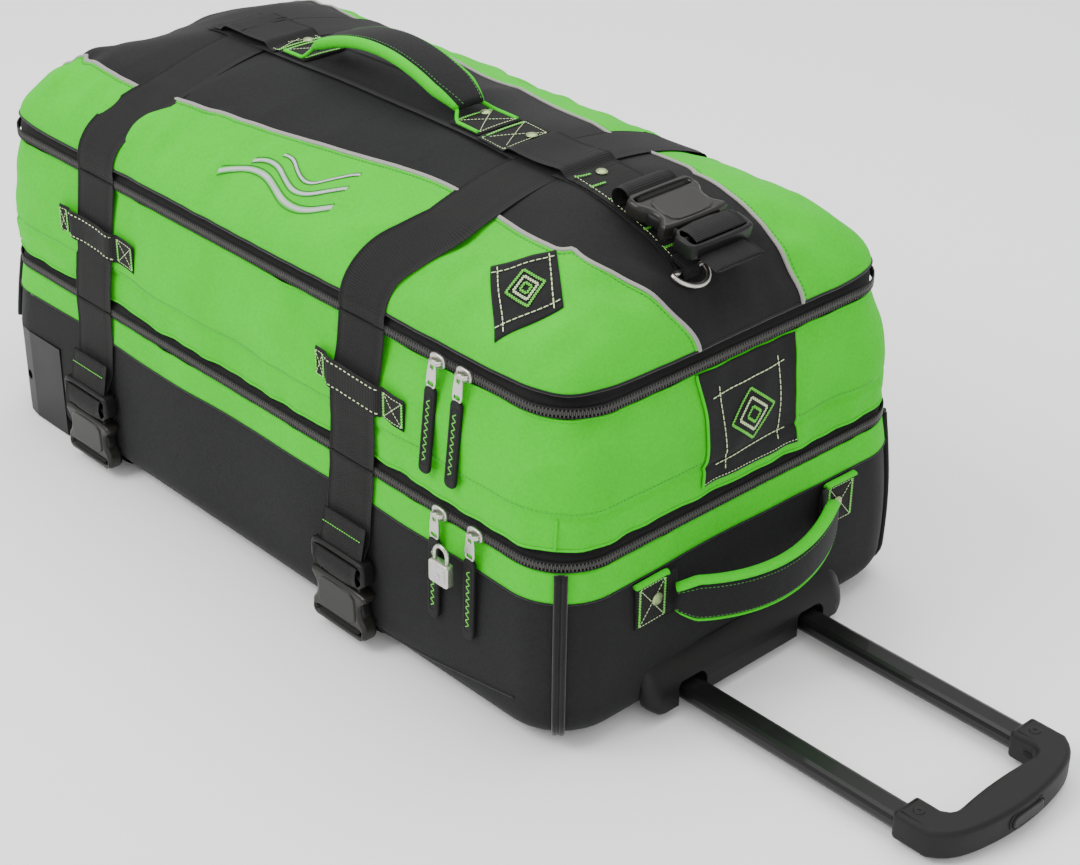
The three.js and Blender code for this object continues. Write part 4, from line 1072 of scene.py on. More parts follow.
def slider_ornament(level, mark):
    """One zip slider with its bridge, and the link and rubber tab that hang from it."""
    low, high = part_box(f"slider_{level}_{mark}")
    x, z = (low[0] + high[0]) / 2, (low[2] + high[2]) / 2
    back = high[1]
    outline = softened([(-7.5, -5.6), (2.5, -5.4), (7.6, -3.4), (7.6, 3.4), (2.5, 5.4), (-7.5, 5.6)], 2)
    outline = [(u * MM, v * MM) for u, v in outline]
    place = basis((x, back - 2.2 * MM, z), (1, 0, 0), (0, 0, 1))
    body = f"slider_{level}_{mark}"
    plate(f"slider_{level}_{mark}_body", [outline], 4.0 * MM, 1.0 * MM, place, "nickel", body, "nickel",
          replaces=[f"slider_{level}_{mark}"])
    arch = np.linspace(0, math.pi, 13)
    path = np.stack([x - 5.2 * MM * np.cos(arch), back - 4.0 * MM - 3.6 * MM * np.sin(arch) ** 0.7,
                     np.full_like(arch, z)], axis=1)
    tube(f"slider_{level}_{mark}_bridge", path, (0, 0, 1), 1.25 * MM, "nickel", body, "nickel", sides=8,
         flat=1.5)
    tilt = math.radians(6.5 if level == "upper" else 1.5)
    down = Vector((0, -math.sin(tilt), -math.cos(tilt)))
    pivot = Vector((x, back - 7.1 * MM, z))
    place = basis(pivot + down * 9.5 * MM + Vector((0, -0.4 * MM, 0)), (1, 0, 0), -down)
    body = f"pull_{level}_{mark}"
    link = [(u * MM, v * MM) for u, v in softened([(-3.4, 12), (3.4, 12), (4.6, 4), (5.2, -10), (-5.2, -10),
                                                   (-4.6, 4)], 2)]
    eye = rounded(1.9 * MM, 2.6 * MM, 1.8 * MM, (0, 7.4 * MM), 4)
    slot = rounded(3.2 * MM, 1.5 * MM, 1.4 * MM, (0, -5.5 * MM), 4)
    plate(f"pull_{level}_{mark}_link", [link, eye, slot], 2.0 * MM, 0.6 * MM, place, "nickel", body,
          "nickel", 2)
    place = basis(pivot + down * 50 * MM + Vector((0, -0.2 * MM, 0)), (1, 0, 0), -down)
    tab = rounded(5.6 * MM, 33 * MM, 4.6 * MM, (0, 0), 6)
    plate(f"pull_{level}_{mark}_tab", [tab], 3.4 * MM, 1.2 * MM, place, "rubber", body, "pull_rubber",
          replaces=[f"pull_{level}_{mark}"])
    panel = rounded(3.8 * MM, 27 * MM, 2.6 * MM, (0, 0), 5)
    hollow = rounded(3.0 * MM, 26.2 * MM, 1.9 * MM, (0, 0), 5)
    front = place @ Matrix.Translation((0, 0, 1.5 * MM))
    plate(f"pull_{level}_{mark}_frame", [panel, hollow], 0.9 * MM, 0.25 * MM, front, "rubber", body,
          "pull_rubber", 1)
    t = np.linspace(-22, 22, 17) * MM
    centre = np.array([front @ Vector((0, v, 0.25 * MM)) for v in t])
    turn = np.array(front.to_3x3())
    lay = np.where((np.arange(17) % 2 == 0)[:, None], turn[:, 0] + turn[:, 1] * 0.7,
                   turn[:, 0] - turn[:, 1] * 0.7)
    lay /= np.linalg.norm(lay, axis=1, keepdims=True)
    normal = np.broadcast_to(turn[:, 2], lay.shape)
    scatter(f"pull_{level}_{mark}_ribs", capsule(4.4 * MM, 0.42 * MM), centre, lay, np.cross(normal, lay),
            normal, "lime", body, "pull_rubber")


def make_padlock():
    low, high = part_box("padlock")
    x = (low[0] + high[0]) / 2
    y = (low[1] + high[1]) / 2
    half, tall = (high[0] - low[0]) / 2, 18 * MM
    centre_z = low[2] + tall / 2
    place = basis((x, y, centre_z), (1, 0, 0), (0, 0, 1))
    plate("padlock_body", [rounded(half, tall / 2, 2.6 * MM)], high[1] - low[1], 1.2 * MM, place, "nickel",
          "padlock", "nickel", replaces=["padlock"])
    plate("padlock_face", [rounded(half - 2.6 * MM, tall / 2 - 3.2 * MM, 1.6 * MM)], 1.2 * MM, 0.4 * MM,
          place @ Matrix.Translation((0, 0, (high[1] - low[1]) / 2)), "steel", "padlock", "nickel", 2)
    turned([(0.4 * MM, -0.6 * MM), (2.6 * MM, -0.6 * MM), (2.8 * MM, 0.5 * MM), (2.0 * MM, 1.0 * MM),
            (0.4 * MM, 1.0 * MM)],
           (x, low[1] - 0.4 * MM, centre_z - 1.5 * MM), (0, -1, 0), (1, 0, 0), "padlock_keyhole_ring",
           "steel", "padlock", "nickel", 24)
    arch = np.linspace(0, math.pi, 17)
    top = low[2] + tall
    path = [(x + 6.5 * MM * math.cos(a), y, top + 5.5 * MM + 6.5 * MM * math.sin(a)) for a in arch]
    path = [(x + 6.5 * MM, y, top - 2 * MM), *path, (x - 6.5 * MM, y, top - 2 * MM)]
    tube("padlock_shackle", path, (0, 1, 0), 1.6 * MM, "nickel", "padlock", "nickel", sides=12)


def make_sliders():
    for level in ("upper", "lower"):
        for mark in ("rear", "front"):
            slider_ornament(level, mark)
    make_padlock()


# ---------------------------------------------------------------- straps, keepers and buckles

def strap_x(y, low, top):
    k = smooth((UPPER_B - np.abs(y)) / STRAP_DRIFT)
    return low + (top - low) * k


def make_strap(mark, low_x, top_x):
    """One strap: over the lid, down both walls, and its folded end at the buckle."""
    q = np.linspace(-Q_END, Q_END, 170)
    y = lid_place(np.zeros_like(q), q)[0][:, 1]
    x = strap_x(y, low_x, top_x)
    p = round_on(x - UPPER_SHIFT, UPPER_A - LID_FALL)
    path, ups = lid_grid(p, q)
    ups[:, 0] = 0
    drop = np.linspace(LID_RIM, UPPER_ZIP + 0.0003, 6)[1:]
    near = np.stack([np.full(5, low_x), np.full(5, -UPPER_B), drop], axis=1)
    far = near[::-1] * [1, -1, 1]
    path = np.vstack([near[::-1], path, near * [1, -1, 1]])
    ups = np.vstack([np.tile((0, -1, 0), (5, 1)), ups, np.tile((0, 1, 0), (5, 1))]).astype(float)
    path = path + ups * 1.2 * MM
    band(f"strap_over_lid_{mark}", path, ups, WEB / 2, 2.0 * MM, "web", "lid", "webbing", -0.6 * MM,
         replaces=[f"strap_over_{mark}"])
    z = np.linspace(UPPER_ZIP - 0.0003, LOWER_ZIP + 0.0003, 40)
    side, out = on_side(np.full_like(z, low_x), z, 1.4 * MM)
    y = side[:, 1].copy()
    y[:] = np.minimum(y, -np.interp(z, [LOWER_ZIP, UPPER_ZIP], [LOWER_B, UPPER_B]) - 1.4 * MM)
    side[:, 1] = np.convolve(np.pad(y, 3, mode="edge"), np.ones(7) / 7, mode="valid")
    band(f"strap_side_{mark}_web", side, out, WEB / 2, 2.0 * MM, "web", "mid", "webbing",
         replaces=[f"strap_side_{mark}"])
    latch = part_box(f"buckle_latch_{mark}")
    top = latch[1][2]
    z = np.linspace(LOWER_ZIP - 0.0003, top - 14 * MM, 24)
    low_path, out = on_side(np.full_like(z, low_x), z, 2.2 * MM)
    low_path[:, 1] = np.minimum(low_path[:, 1], -LOWER_B - 2.2 * MM)
    reach = smooth((top + 16 * MM - z) / (20 * MM))
    low_path[:, 1] = low_path[:, 1] * (1 - reach) + reach * (latch[0][1] + 9 * MM)
    piece = band(f"strap_low_{mark}_web", low_path, out, WEB / 2, 2.0 * MM, "web", "base", "webbing",
                 replaces=[f"strap_low_{mark}"])
    tail_z = np.linspace(top - 9 * MM, top + 24 * MM, 14)
    lift = np.interp(tail_z, [top - 9 * MM, top, top + 24 * MM], [10.5 * MM, 8.5 * MM, 3.8 * MM])
    tail, out = on_side(np.full_like(tail_z, low_x), tail_z, 0)
    tail[:, 1] = -BODY_B - lift
    tail_piece = band(f"strap_tail_{mark}", tail, out, WEB / 2 - 0.5 * MM, 2.6 * MM, "web", "base",
                      "webbing")
    row = tail[9]
    t = np.linspace(-WEB / 2 + 3 * MM, WEB / 2 - 3 * MM, 16)[:, None]
    line = row + t * [1, 0, 0] + np.array([0, -2.7 * MM, 0])
    sewn = stitches(f"strap_tail_{mark}_stitch", [(line, np.tile((0.0, -1.0, 0.0), (16, 1)))], "lime",
                    "base", "webbing", 2.6 * MM, 0.75, 0.5 * MM)
    for soft in (piece, tail_piece, sewn):
        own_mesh(soft)
    far_z = np.linspace(UPPER_ZIP + 0.001, LOWER_ZIP + 0.007, 36)
    far, out = on_side(np.full_like(far_z, low_x), far_z, 1.4 * MM, side=1)
    far[:, 1] = np.maximum(far[:, 1], np.interp(far_z, [LOWER_ZIP, UPPER_ZIP], [LOWER_B, UPPER_B])
                           + 1.4 * MM)
    piece = band(f"strap_hinge_{mark}", far, out, WEB / 2, 2.0 * MM, "web", None, "webbing")
    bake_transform(piece)
    far_z = np.linspace(LOWER_ZIP + 0.0066, 0.030, 40)
    far, out = on_side(np.full_like(far_z, low_x), far_z, 1.6 * MM, side=1)
    far[:, 1] = np.maximum(far[:, 1], LOWER_B + 1.6 * MM)
    piece = band(f"strap_far_{mark}", far, out, WEB / 2, 2.0 * MM, "web", None, "webbing")
    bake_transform(piece)


def box_stitch(name, surface, u0, u1, v0, v1, lift, body, bars="v", both=True):
    """A sewn box with its cross: fine pale lines, and heavy green bars on two sides."""
    corners = [(u0, v0), (u1, v0), (u1, v1), (u0, v1)]
    fine = [line_on(surface, corners[k], corners[(k + 1) % 4], lift) for k in range(4)]
    fine += [line_on(surface, corners[0], corners[2], lift), line_on(surface, corners[1], corners[3], lift)]
    stitches(f"{name}_fine", fine, "pale", body, "webbing", 2.6 * MM, 0.72, 0.34 * MM)
    if bars == "v":
        heavy = [((u0, v0), (u0, v1)), ((u1, v0), (u1, v1))]
    else:
        heavy = [((u0, v0), (u1, v0)), ((u0, v1), (u1, v1))]
    lines = [line_on(surface, *pair, lift) for pair in (heavy if both else heavy[:1])]
    zigzag(f"{name}_bars", lines, 2.4 * MM, "lime", body, "webbing")


def make_keeper(mark, strap_place):
    """The sewn loop that a strap runs through on the middle section."""
    low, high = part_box(f"keeper_{mark}")
    x = np.linspace(low[0], high[0], 60)
    z = KEEPER_Z + (x - strap_place) * -0.05
    wall, out = on_side(x, z, 0.6 * MM)
    hump = smooth((WEB / 2 + 7 * MM - np.abs(x - strap_place)) / (6 * MM))
    over, _ = on_side(np.full_like(x, strap_place), np.full_like(x, KEEPER_Z), 4.4 * MM)
    wall[:, 1] = wall[:, 1] * (1 - hump) + np.minimum(over[:, 1], wall[:, 1] - 3.4 * MM) * hump
    band(f"keeper_{mark}_web", wall, out, (high[2] - low[2]) / 2, 1.6 * MM, "web", "mid", "webbing",
         replaces=[f"keeper_{mark}"])

    def surface(u, v, lift):
        u, v = np.broadcast_arrays(np.asarray(u, float), np.asarray(v, float))
        point = np.stack([u, np.interp(u, x, wall[:, 1]) - 1.6 * MM - lift, v + np.interp(u, x, z)], axis=-1)
        normal = np.zeros_like(point)
        normal[..., 1] = -1
        return point, normal

    half = (high[2] - low[2]) / 2 - 3 * MM
    rows = [line_on(surface, (strap_place - 30 * MM, v), (strap_place + 30 * MM, v), 0.3 * MM, 40)
            for v in (-half, half)]
    stitches(f"keeper_{mark}_rows", rows, "pale", "mid", "webbing", 4.4 * MM, 0.56, 0.55 * MM)
    for end, u0, u1 in (("rear", low[0] + 1.5 * MM, strap_place - 34 * MM),
                        ("front", strap_place + 34 * MM, high[0] - 1.5 * MM)):
        box_stitch(f"keeper_{mark}_{end}_box", surface, u0, u1, -half, half, 0.3 * MM, "mid")


def buckle(mark, origin, u, v, socket_body, latch_body, socket_node, latch_node):
    """A side-release buckle along v from its origin, with its back on the plane of u and v."""
    at = lambda uu, vv, w: basis(Vector(origin), u, v) @ Matrix.Translation((uu * MM, vv * MM, w * MM))
    cut = lambda points, rounds=2: [(a * MM, b * MM) for a, b in softened(points, rounds)]
    shell = cut([(-27, 1), (-31, 5), (-31, 15), (-27, 19), (-25, 25), (-25, 31), (-29, 35), (-31, 38),
                 (-31, 43.6),
                 (31, 43.6), (31, 38), (29, 35), (25, 31), (25, 25), (27, 19), (31, 15), (31, 5), (27, 1)])
    slit = rounded(26 * MM, 2.2 * MM, 1.8 * MM, (0, 7.5 * MM), 5)
    # The socket's shell and crown take the satin finish, whose lighter grey colour is painted sheen.
    plate(f"buckle_socket_{mark}_shell", [shell, slit], 13 * MM, 3.2 * MM, at(0, 0, 7.5), "satin",
          socket_body, "moulded_plastic", 4, replaces=[socket_node])
    crown = cut([(-21, 14), (0, 13.4), (21, 14), (22, 27), (20, 40), (0, 41), (-20, 40), (-22, 27)], 1)
    plate(f"buckle_socket_{mark}_crown", [crown], 3.0 * MM, 1.4 * MM, at(0, 0, 13.6), "satin", socket_body,
          "moulded_plastic", 4)
    frame_out = cut([(-31, 44.2), (-31, 66), (-27, 70), (27, 70), (31, 66), (31, 44.2)])
    slits = [rounded(26 * MM, 2.6 * MM, 2.0 * MM, (0, c * MM), 5) for c in (52.5, 62)]
    plate(f"buckle_latch_{mark}_frame", [frame_out, *slits], 12 * MM, 2.4 * MM, at(0, 0, 7.5), "plastic",
          latch_body, "moulded_plastic", 3, replaces=[latch_node])
    for side, name in ((-1, "left"), (1, "right")):
        prong = cut([(side * a, b) for a, b in ((23, 46), (25.5, 34), (28.4, 24), (25, 17.5), (21.5, 19),
                                                (20.5, 46))])
        plate(f"buckle_latch_{mark}_prong_{name}", [prong], 7.5 * MM, 1.2 * MM, at(0, 0, 7.5), "plastic",
              latch_body, "moulded_plastic", 2)
    bar = cut([(-27, 55.4), (27, 55.4), (27, 59.2), (-27, 59.2)], 2)
    plate(f"buckle_latch_{mark}_bar", [bar], 3.4 * MM, 1.4 * MM, at(0, 0, 12.2), "plastic", latch_body,
          "moulded_plastic", 3)
    turn = basis(Vector(origin), u, v)
    vs = np.linspace(49, 65, 14) * MM
    rise = (13.2 + 1.8 * np.sin(np.linspace(0, math.pi, 14))) * MM
    path = np.array([turn @ Vector((0, b, h)) for b, h in zip(vs, rise)])
    out = np.tile(np.array(turn.to_3x3())[:, 2], (14, 1))
    band(f"buckle_latch_{mark}_web", path, out, WEB / 2 - 0.4 * MM, 1.8 * MM, "web", latch_body, "webbing")
    vs = np.array([2, 4.5, 7.5, 10.5]) * MM
    path = np.array([turn @ Vector((0, b, h * MM)) for b, h in zip(vs, (3, 9, 13.2, 8))])
    band(f"buckle_socket_{mark}_web", path, np.tile(out[0], (4, 1)), WEB / 2 - 0.4 * MM, 2.0 * MM, "web",
         socket_body, "webbing")


def make_straps():
    for mark, low_x, top_x in (("front", FRONT_STRAP, FRONT_STRAP_TOP),
                               ("rear", REAR_STRAP, REAR_STRAP_TOP)):
        make_strap(mark, low_x, top_x)
        make_keeper(mark, low_x)
        low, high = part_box(f"buckle_socket_{mark}")
        buckle(mark, (low_x, high[1] + 0.2 * MM, low[2]), (1, 0, 0), (0, 0, 1), "base",
               f"buckle_latch_{mark}", f"buckle_socket_{mark}", f"buckle_latch_{mark}")
        z = np.linspace(low[2] + 6 * MM, 5 * MM, 12)
        path, out = on_side(np.full_like(z, low_x), z, 1.2 * MM)
        band(f"strap_foot_{mark}", path, out, WEB / 2, 2.0 * MM, "web", "base", "webbing")


# ---------------------------------------------------------------- the line along the top

def top_surface(x, y, lift):
    return on_lid(x, y, lift)


def rivet(name, x, y, lift, body="lid"):
    point, normal = on_lid(x, y, lift)
    profile = [(0.2, -0.4), (4.2, -0.4), (4.4, 0.5), (3.6, 1.3), (2.0, 1.8), (0.2, 1.9)]
    side = np.cross(normal, (0, 1, 0))
    side /= np.linalg.norm(side)
    turned([(r * MM, h * MM) for r, h in profile], point, normal, side, name, "rivet", body, "nickel", 28)


def top_web(name, xs, lift, half, thick, replaces=(), finish="web", hump=None):
    """Webbing along the top's middle line."""
    raised = lift + (hump(xs) if hump is not None else 0)
    path, ups = on_lid(xs, np.full_like(xs, TOP_Y), 0)
    ups[:, 1] = 0
    ups /= np.linalg.norm(ups, axis=1, keepdims=True)
    path = path + ups * np.broadcast_to(raised, xs.shape)[:, None]
    return band(name, path, ups, half, thick, finish, "lid", "webbing", -0.5 * MM, replaces=replaces)


def make_top_line():
    top_web("centre_base_web", np.linspace(*CENTRE_WEB, 200), 0.7 * MM, WEB / 2 + 1 * MM, 1.2 * MM,
            finish="black")
    for mark, x in (("front", FRONT_STRAP_TOP), ("rear", REAR_STRAP_TOP)):
        low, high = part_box(f"belt_loop_{mark}")

        def hump(xs, middle=x):
            return 4.8 * MM * smooth((WEB / 2 + 9 * MM - np.abs(xs - middle)) / (9 * MM))

        top_web(f"belt_loop_{mark}_web", np.linspace(low[0], high[0], 80), 2.0 * MM, WEB / 2, 2.0 * MM,
                [f"belt_loop_{mark}"], hump=hump)
    for mark in ("front", "rear"):
        low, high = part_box(f"handle_tab_{mark}")
        top_web(f"handle_tab_{mark}_web", np.linspace(low[0] - 3 * MM, high[0] + 2 * MM, 14), 2.1 * MM,
                22 * MM, 2.4 * MM, [f"handle_tab_{mark}"])
        box_stitch(f"handle_tab_{mark}_box", top_surface, low[0] + 1 * MM, high[0], TOP_Y - 18 * MM,
                   TOP_Y + 18 * MM, 4.9 * MM, "lid", both=mark == "rear")
        rivet(f"handle_rivet_{mark}", low[0] + 3 * MM if mark == "front" else low[0] - 6 * MM,
              TOP_Y + 9 * MM, 4.4 * MM)
    box_stitch("front_loop_box", top_surface, 0.100, 0.1235, TOP_Y - 22 * MM, TOP_Y + 20 * MM, 4.4 * MM,
               "lid", both=False)
    box_stitch("rear_loop_box", top_surface, -0.157, -0.144, TOP_Y - 21 * MM, TOP_Y + 21 * MM, 4.4 * MM,
               "lid")
    rivet("front_loop_rivet", 0.1205, TOP_Y + 8 * MM, 4.2 * MM)
    top_web("front_top_web", np.linspace(*FRONT_WEB, 50), 2.0 * MM, WEB / 2, 2.0 * MM, ["top_strap"])
    bars = [line_on(top_surface, (x, TOP_Y - w), (x, TOP_Y - w + 15 * MM), 4.4 * MM, 8)
            for x, w in ((0.199, 0.024), (0.214, 0.024), (0.232, 0.022), (0.248, 0.023), (0.266, 0.024),
                         (0.284, 0.023))]
    zigzag("ladder_bars", bars, 2.2 * MM, "lime", "lid", "webbing")
    sides = [line_on(top_surface, (FRONT_WEB[0], TOP_Y + w), (LADDER_END, TOP_Y + w), 4.3 * MM, 60)
             for w in (-LADDER_HALF, LADDER_HALF)]
    stitches("ladder_sides", sides, "pale", "lid", "webbing", 3.2 * MM, 0.6, 0.32 * MM)
    rivet("ladder_rivet", 0.2005, TOP_Y + 0.5 * MM, 4.2 * MM)
    tilt = math.radians(13)
    along = (math.cos(tilt), 0, -math.sin(tilt))
    origin = (TOP_BUCKLE_X, TOP_Y,
              lid_place(np.array(TOP_BUCKLE_X - UPPER_SHIFT), np.array(0.0))[0][2] + 6.5 * MM)
    buckle("top", origin, (0, -1, 0), along, "lid", "top_buckle_latch", "top_buckle_socket",
           "top_buckle_latch")
    roll = np.array([(0.244 + 7.5 * MM * math.cos(a), TOP_Y, origin[2] + 6.4 * MM + 6.8 * MM * math.sin(a))
                     for a in np.linspace(math.radians(-60), math.radians(250), 26)])
    outward = roll - [0.244, TOP_Y, origin[2] + 6.4 * MM]
    outward /= np.linalg.norm(outward, axis=1, keepdims=True)
    band("top_buckle_roll", roll, outward, WEB / 2 - 1 * MM, 2.0 * MM, "web", "lid", "webbing")
    xs = np.linspace(0.300, 0.3345, 20)
    ease = (xs - xs[0]) / (xs[-1] - xs[0])
    path = np.stack([xs, np.full_like(xs, TOP_Y), 0.3265 - 0.006 * ease ** 2], axis=1)
    ups = np.tile((0.17, 0.0, 0.985), (20, 1))
    band("top_strap_tail", path, ups, WEB / 2 - 1 * MM, 3.6 * MM, "web", "top_buckle_latch", "webbing")
    make_d_ring()


def make_d_ring():
    low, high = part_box("d_ring")
    x0, y0, z0 = low[0] + 2 * MM, (low[1] + high[1]) / 2, high[2] - 2 * MM
    tilt = math.radians(25)
    out = np.array([math.cos(tilt), 0, -math.sin(tilt)])
    angle = np.linspace(-math.pi / 2, math.pi / 2, 25)
    arc = np.array([x0, y0, z0]) + 15 * MM * (np.cos(angle)[:, None] * out
                                              + np.sin(angle)[:, None] * [0, 1, 0])
    bar = np.array([x0, y0, z0]) + np.linspace(15, -15, 13)[1:-1, None] * MM * np.array([0, 1, 0])
    path = np.vstack([arc, bar])
    tube("d_ring_wire", path, np.cross(out, (0, 1, 0)), 2.0 * MM, "nickel", "d_ring", "nickel", sides=12,
         closed=True, replaces=["d_ring"])
    xs = np.linspace(x0 - 12 * MM, x0 + 3 * MM, 10)
    path, ups = on_lid(xs, np.full_like(xs, y0), 0)
    ups[:, 1] = 0
    ups /= np.linalg.norm(ups, axis=1, keepdims=True)
    lift = np.interp(xs, [xs[0], x0 - 2 * MM, xs[-1]], [4 * MM, 6.4 * MM, 1.5 * MM])
    band("d_ring_loop", path + ups * lift[:, None], ups, 8 * MM, 2.0 * MM, "web", "lid", "webbing")


def make_top_handle():
    """A padded carrying handle with thick green edging on both sides."""
    low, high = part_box("top_handle")
    t = np.linspace(0, 1, 60)
    rise = np.sin(math.pi * t) ** 0.8
    base = low[2] + 3 * MM
    height = high[2] - low[2] - 6 * MM
    x = low[0] + 1.5 * MM + (high[0] - low[0] - 3 * MM) * t
    path = np.stack([x, np.full_like(x, TOP_Y), base + height * rise], axis=1)
    ups = frames_along(path, (0, 0, 1))[2]
    half = np.minimum(13 * MM + rise * 12 * MM, 18.5 * MM)
    sections = np.array([web_section(h, 7 * MM, 1.6 * MM, 13) - [0, 3.5 * MM] for h in half])
    loops = section_sweep(path, ups, sections)
    pad = loft("top_handle_pad", loops, "black", "top_handle", "black_cloth", replaces=["top_handle"])
    side = frames_along(path, ups)[1]
    for k, name in ((-1, "far"), (1, "near")):
        edge = path + side * (half[:, None] + 0.4 * MM) * k + ups * (0.2 * MM if k > 0 else -2.2 * MM)
        thick = (2.0 * MM + 1.6 * MM * smooth(rise * 2.2)) * (1 if k > 0 else 0.75)
        roll = tube(f"top_handle_edging_{name}", edge, ups, thick, "green_edge", "top_handle", "green_cloth",
                    14, 1.3)
        seam = path + side * (half[:, None] - 4.4 * MM) * k + ups * 4.4 * MM
        stitches(f"top_handle_stitch_{name}", [(seam, ups)], "deep", "top_handle", "webbing", *FINE_STITCH)
        for end, x0, x1 in (("front", high[0] - 2 * MM, high[0] + 29 * MM),
                            ("rear", low[0] - 29 * MM, low[0] + 2 * MM)):
            xs = np.linspace(x0, x1, 16)
            tail, up = on_lid(xs, np.full_like(xs, TOP_Y - k * 19 * MM), 4.6 * MM)
            ease = smooth((np.abs(xs - (x0 if end == "front" else x1))) / (9 * MM))[:, None]
            start = edge[-1 if end == "front" else 0]
            tail = tail * ease + (start + (tail - tail[0 if end == "front" else -1]) * 0.6) * (1 - ease)
            tube(f"handle_tail_{name}_{end}", tail, up, 1.5 * MM, "green_edge", "lid", "green_cloth", 10)


# ---------------------------------------------------------------- front end

def make_haul_handle():
    """The curved grab handle low on the front, with its sewn tabs."""
    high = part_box("haul_handle")[1]
    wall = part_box("haul_tab_left")[0][0]
    foot = wall + 10 * MM
    reach = high[1] + 2.5 * MM
    t = np.linspace(0, 1, 60)
    bow = np.sin(math.pi * t) ** 0.75
    y = (2 * t - 1) * reach
    path = np.stack([foot + (high[0] - foot - 2.6 * MM) * bow, y, HAUL_Z - 8 * MM * bow], axis=1)
    outs = np.cross(frames_along(path, (0, 0, 1))[0], (0, 0, 1.0))
    outs /= np.linalg.norm(outs, axis=1, keepdims=True)
    half = np.minimum(8.5 * MM + 22 * MM * bow, 16 * MM)
    sections = np.array([web_section(h, 4.4 * MM, 0.9 * MM, 13) - [0, 1.4 * MM] for h in half])
    loops = section_sweep(path, outs, sections)
    pad = loft("haul_handle_band", loops, "black", "haul_handle", "black_cloth", replaces=["haul_handle"])
    tall = np.array([0, 0, 1.0])
    top = path + tall * half[:, None] - outs * 0.6 * MM
    roll = tube("haul_handle_top_edging", top, outs, 2.6 * MM, "green_edge", "haul_handle", "green_cloth",
                14, 1.9)
    tube("haul_handle_low_edging", path - tall * half[:, None] + outs * 0.4 * MM, outs, 1.5 * MM,
         "green_edge", "haul_handle", "green_cloth", 10, 1.5)
    for k, name in ((0.72, "top"), (-0.8, "low")):
        seam = path + tall * half[:, None] * k + outs * 3.4 * MM
        stitches(f"haul_handle_stitch_{name}", [(seam, outs)], "deep", "haul_handle", "webbing",
                 *FINE_STITCH)
    for mark, side in (("right", -1), ("left", 1)):
        tab_low, tab_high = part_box(f"haul_tab_{mark}")
        y0, y1 = sorted((tab_low[1], tab_high[1]))
        ys = np.linspace(y0 - (8 * MM if side > 0 else 0), y1 + (8 * MM if side < 0 else 0), 26)
        lift = 0.9 * MM + 2.6 * MM * smooth((84 * MM + 3 * MM - np.abs(ys)) / (9 * MM))
        place, out = on_front(ys, np.full_like(ys, 0.100), 0)
        place = place + out * lift[:, None]
        half_tab = (tab_high[2] - tab_low[2]) / 2
        band(f"haul_tab_{mark}_web", place, out, half_tab, 2.6 * MM, "web", "base", "webbing",
             replaces=[f"haul_tab_{mark}"])

        def surface(u, v, lift, ys=ys, place=place):
            u, v = np.broadcast_arrays(np.asarray(u, float), np.asarray(v, float))
            point = np.stack([np.interp(u, ys, place[:, 0]) + 2.7 * MM + lift, u, 0.100 + v], axis=-1)
            normal = np.zeros_like(point)
            normal[..., 0] = 1
            return point, normal

        inner, outer = (y1 - 2 * MM, y0 + 2.5 * MM) if side < 0 else (y0 + 2 * MM, y1 - 2.5 * MM)
        box_stitch(f"haul_tab_{mark}_box", surface, inner, outer, -half_tab + 3 * MM, half_tab - 3.5 * MM,
                   0.2 * MM, "base")
        edge, up = surface(np.linspace(y0 - 1 * MM, y1 + 1 * MM, 14), np.full(14, half_tab - 0.5 * MM),
                           -1.2 * MM)
        tube(f"haul_tab_{mark}_edging", edge, up, 2.0 * MM, "green_edge", "base", "green_cloth", 10, 1.5)
        centre, _ = surface(inner + side * 8.5 * MM, 1 * MM, 0.6 * MM)
        turned([(r * MM, h * MM) for r, h in ((0.2, -0.4), (4.8, -0.4), (5.0, 0.6), (4.0, 1.5), (2.0, 1.9),
                                              (0.2, 2.0))],
               centre, (1, 0, 0), (0, 1, 0), f"haul_rivet_{mark}", "rivet", "base", "nickel", 28)


def make_front_patch():
    """The black sewn patch on the front of the middle section, with a plain stitched motif."""
    y = np.linspace(-1, 1, 40)
    z = np.linspace(0.1665, 0.2510, 30)
    k = (z - z[0]) / (z[-1] - z[0])
    half = 0.0490 - 0.0035 * np.sin(math.pi * k) + 0.001 * k
    rows = np.array([on_front(0.004 + y * h, np.full_like(y, zz), 1.7 * MM)[0] for h, zz in zip(half, z)])
    cloth("front_patch", rows, "black", "mid", "black_cloth", thick=1.2 * MM)
    for name, column in (("right", 0), ("left", -1)):
        edge = rows[:, column]
        tube(f"front_patch_edge_{name}", edge, (1, 0, 0), 1.1 * MM, "green_edge", "mid", "green_cloth", 8)
    stitches("front_patch_low_stitch", [line_on(on_front, (-0.044, 0.1685), (0.052, 0.1690), 2.2 * MM, 30)],
             "pale", "mid", "webbing", 3.0 * MM, 0.6, 0.36 * MM)
    motif("front_patch", on_front, 0.004, 0.207, 0.030, 0.027, 0.04, "mid", 2.3 * MM)


def motif(name, surface, u, v, half_u, half_v, turn, body, lift):
    """A hand-stitched frame of crossing lines round three nested green lozenges."""
    c, s = math.cos(turn), math.sin(turn)
    spot = lambda a, b: (u + a * c - b * s, v + a * s + b * c)
    lines = []
    for k in (-1, 1):
        lines.append(line_on(surface, spot(k * half_u * 0.92, -half_v * 1.22),
                             spot(k * half_u, half_v * 1.2), lift))
        lines.append(line_on(surface, spot(-half_u * 1.25, k * half_v * 0.95),
                             spot(half_u * 1.2, k * half_v), lift))
    stitches(f"{name}_frame_stitch", lines, "pale", body, "webbing", 4.2 * MM, 0.88, 0.5 * MM)
    for share, finish in ((0.72, "lime"), (0.46, "pale"), (0.22, "lime")):
        tips = [(0, half_v * share), (half_u * share, 0), (0, -half_v * share), (-half_u * share, 0)]
        rows = [line_on(surface, spot(*tips[k]), spot(*tips[(k + 1) % 4]), lift, 12) for k in range(4)]
        zigzag(f"{name}_lozenge_{int(share * 100)}", rows, 2.2 * MM, finish, body, "webbing", 1.0 * MM,
               0.45 * MM)


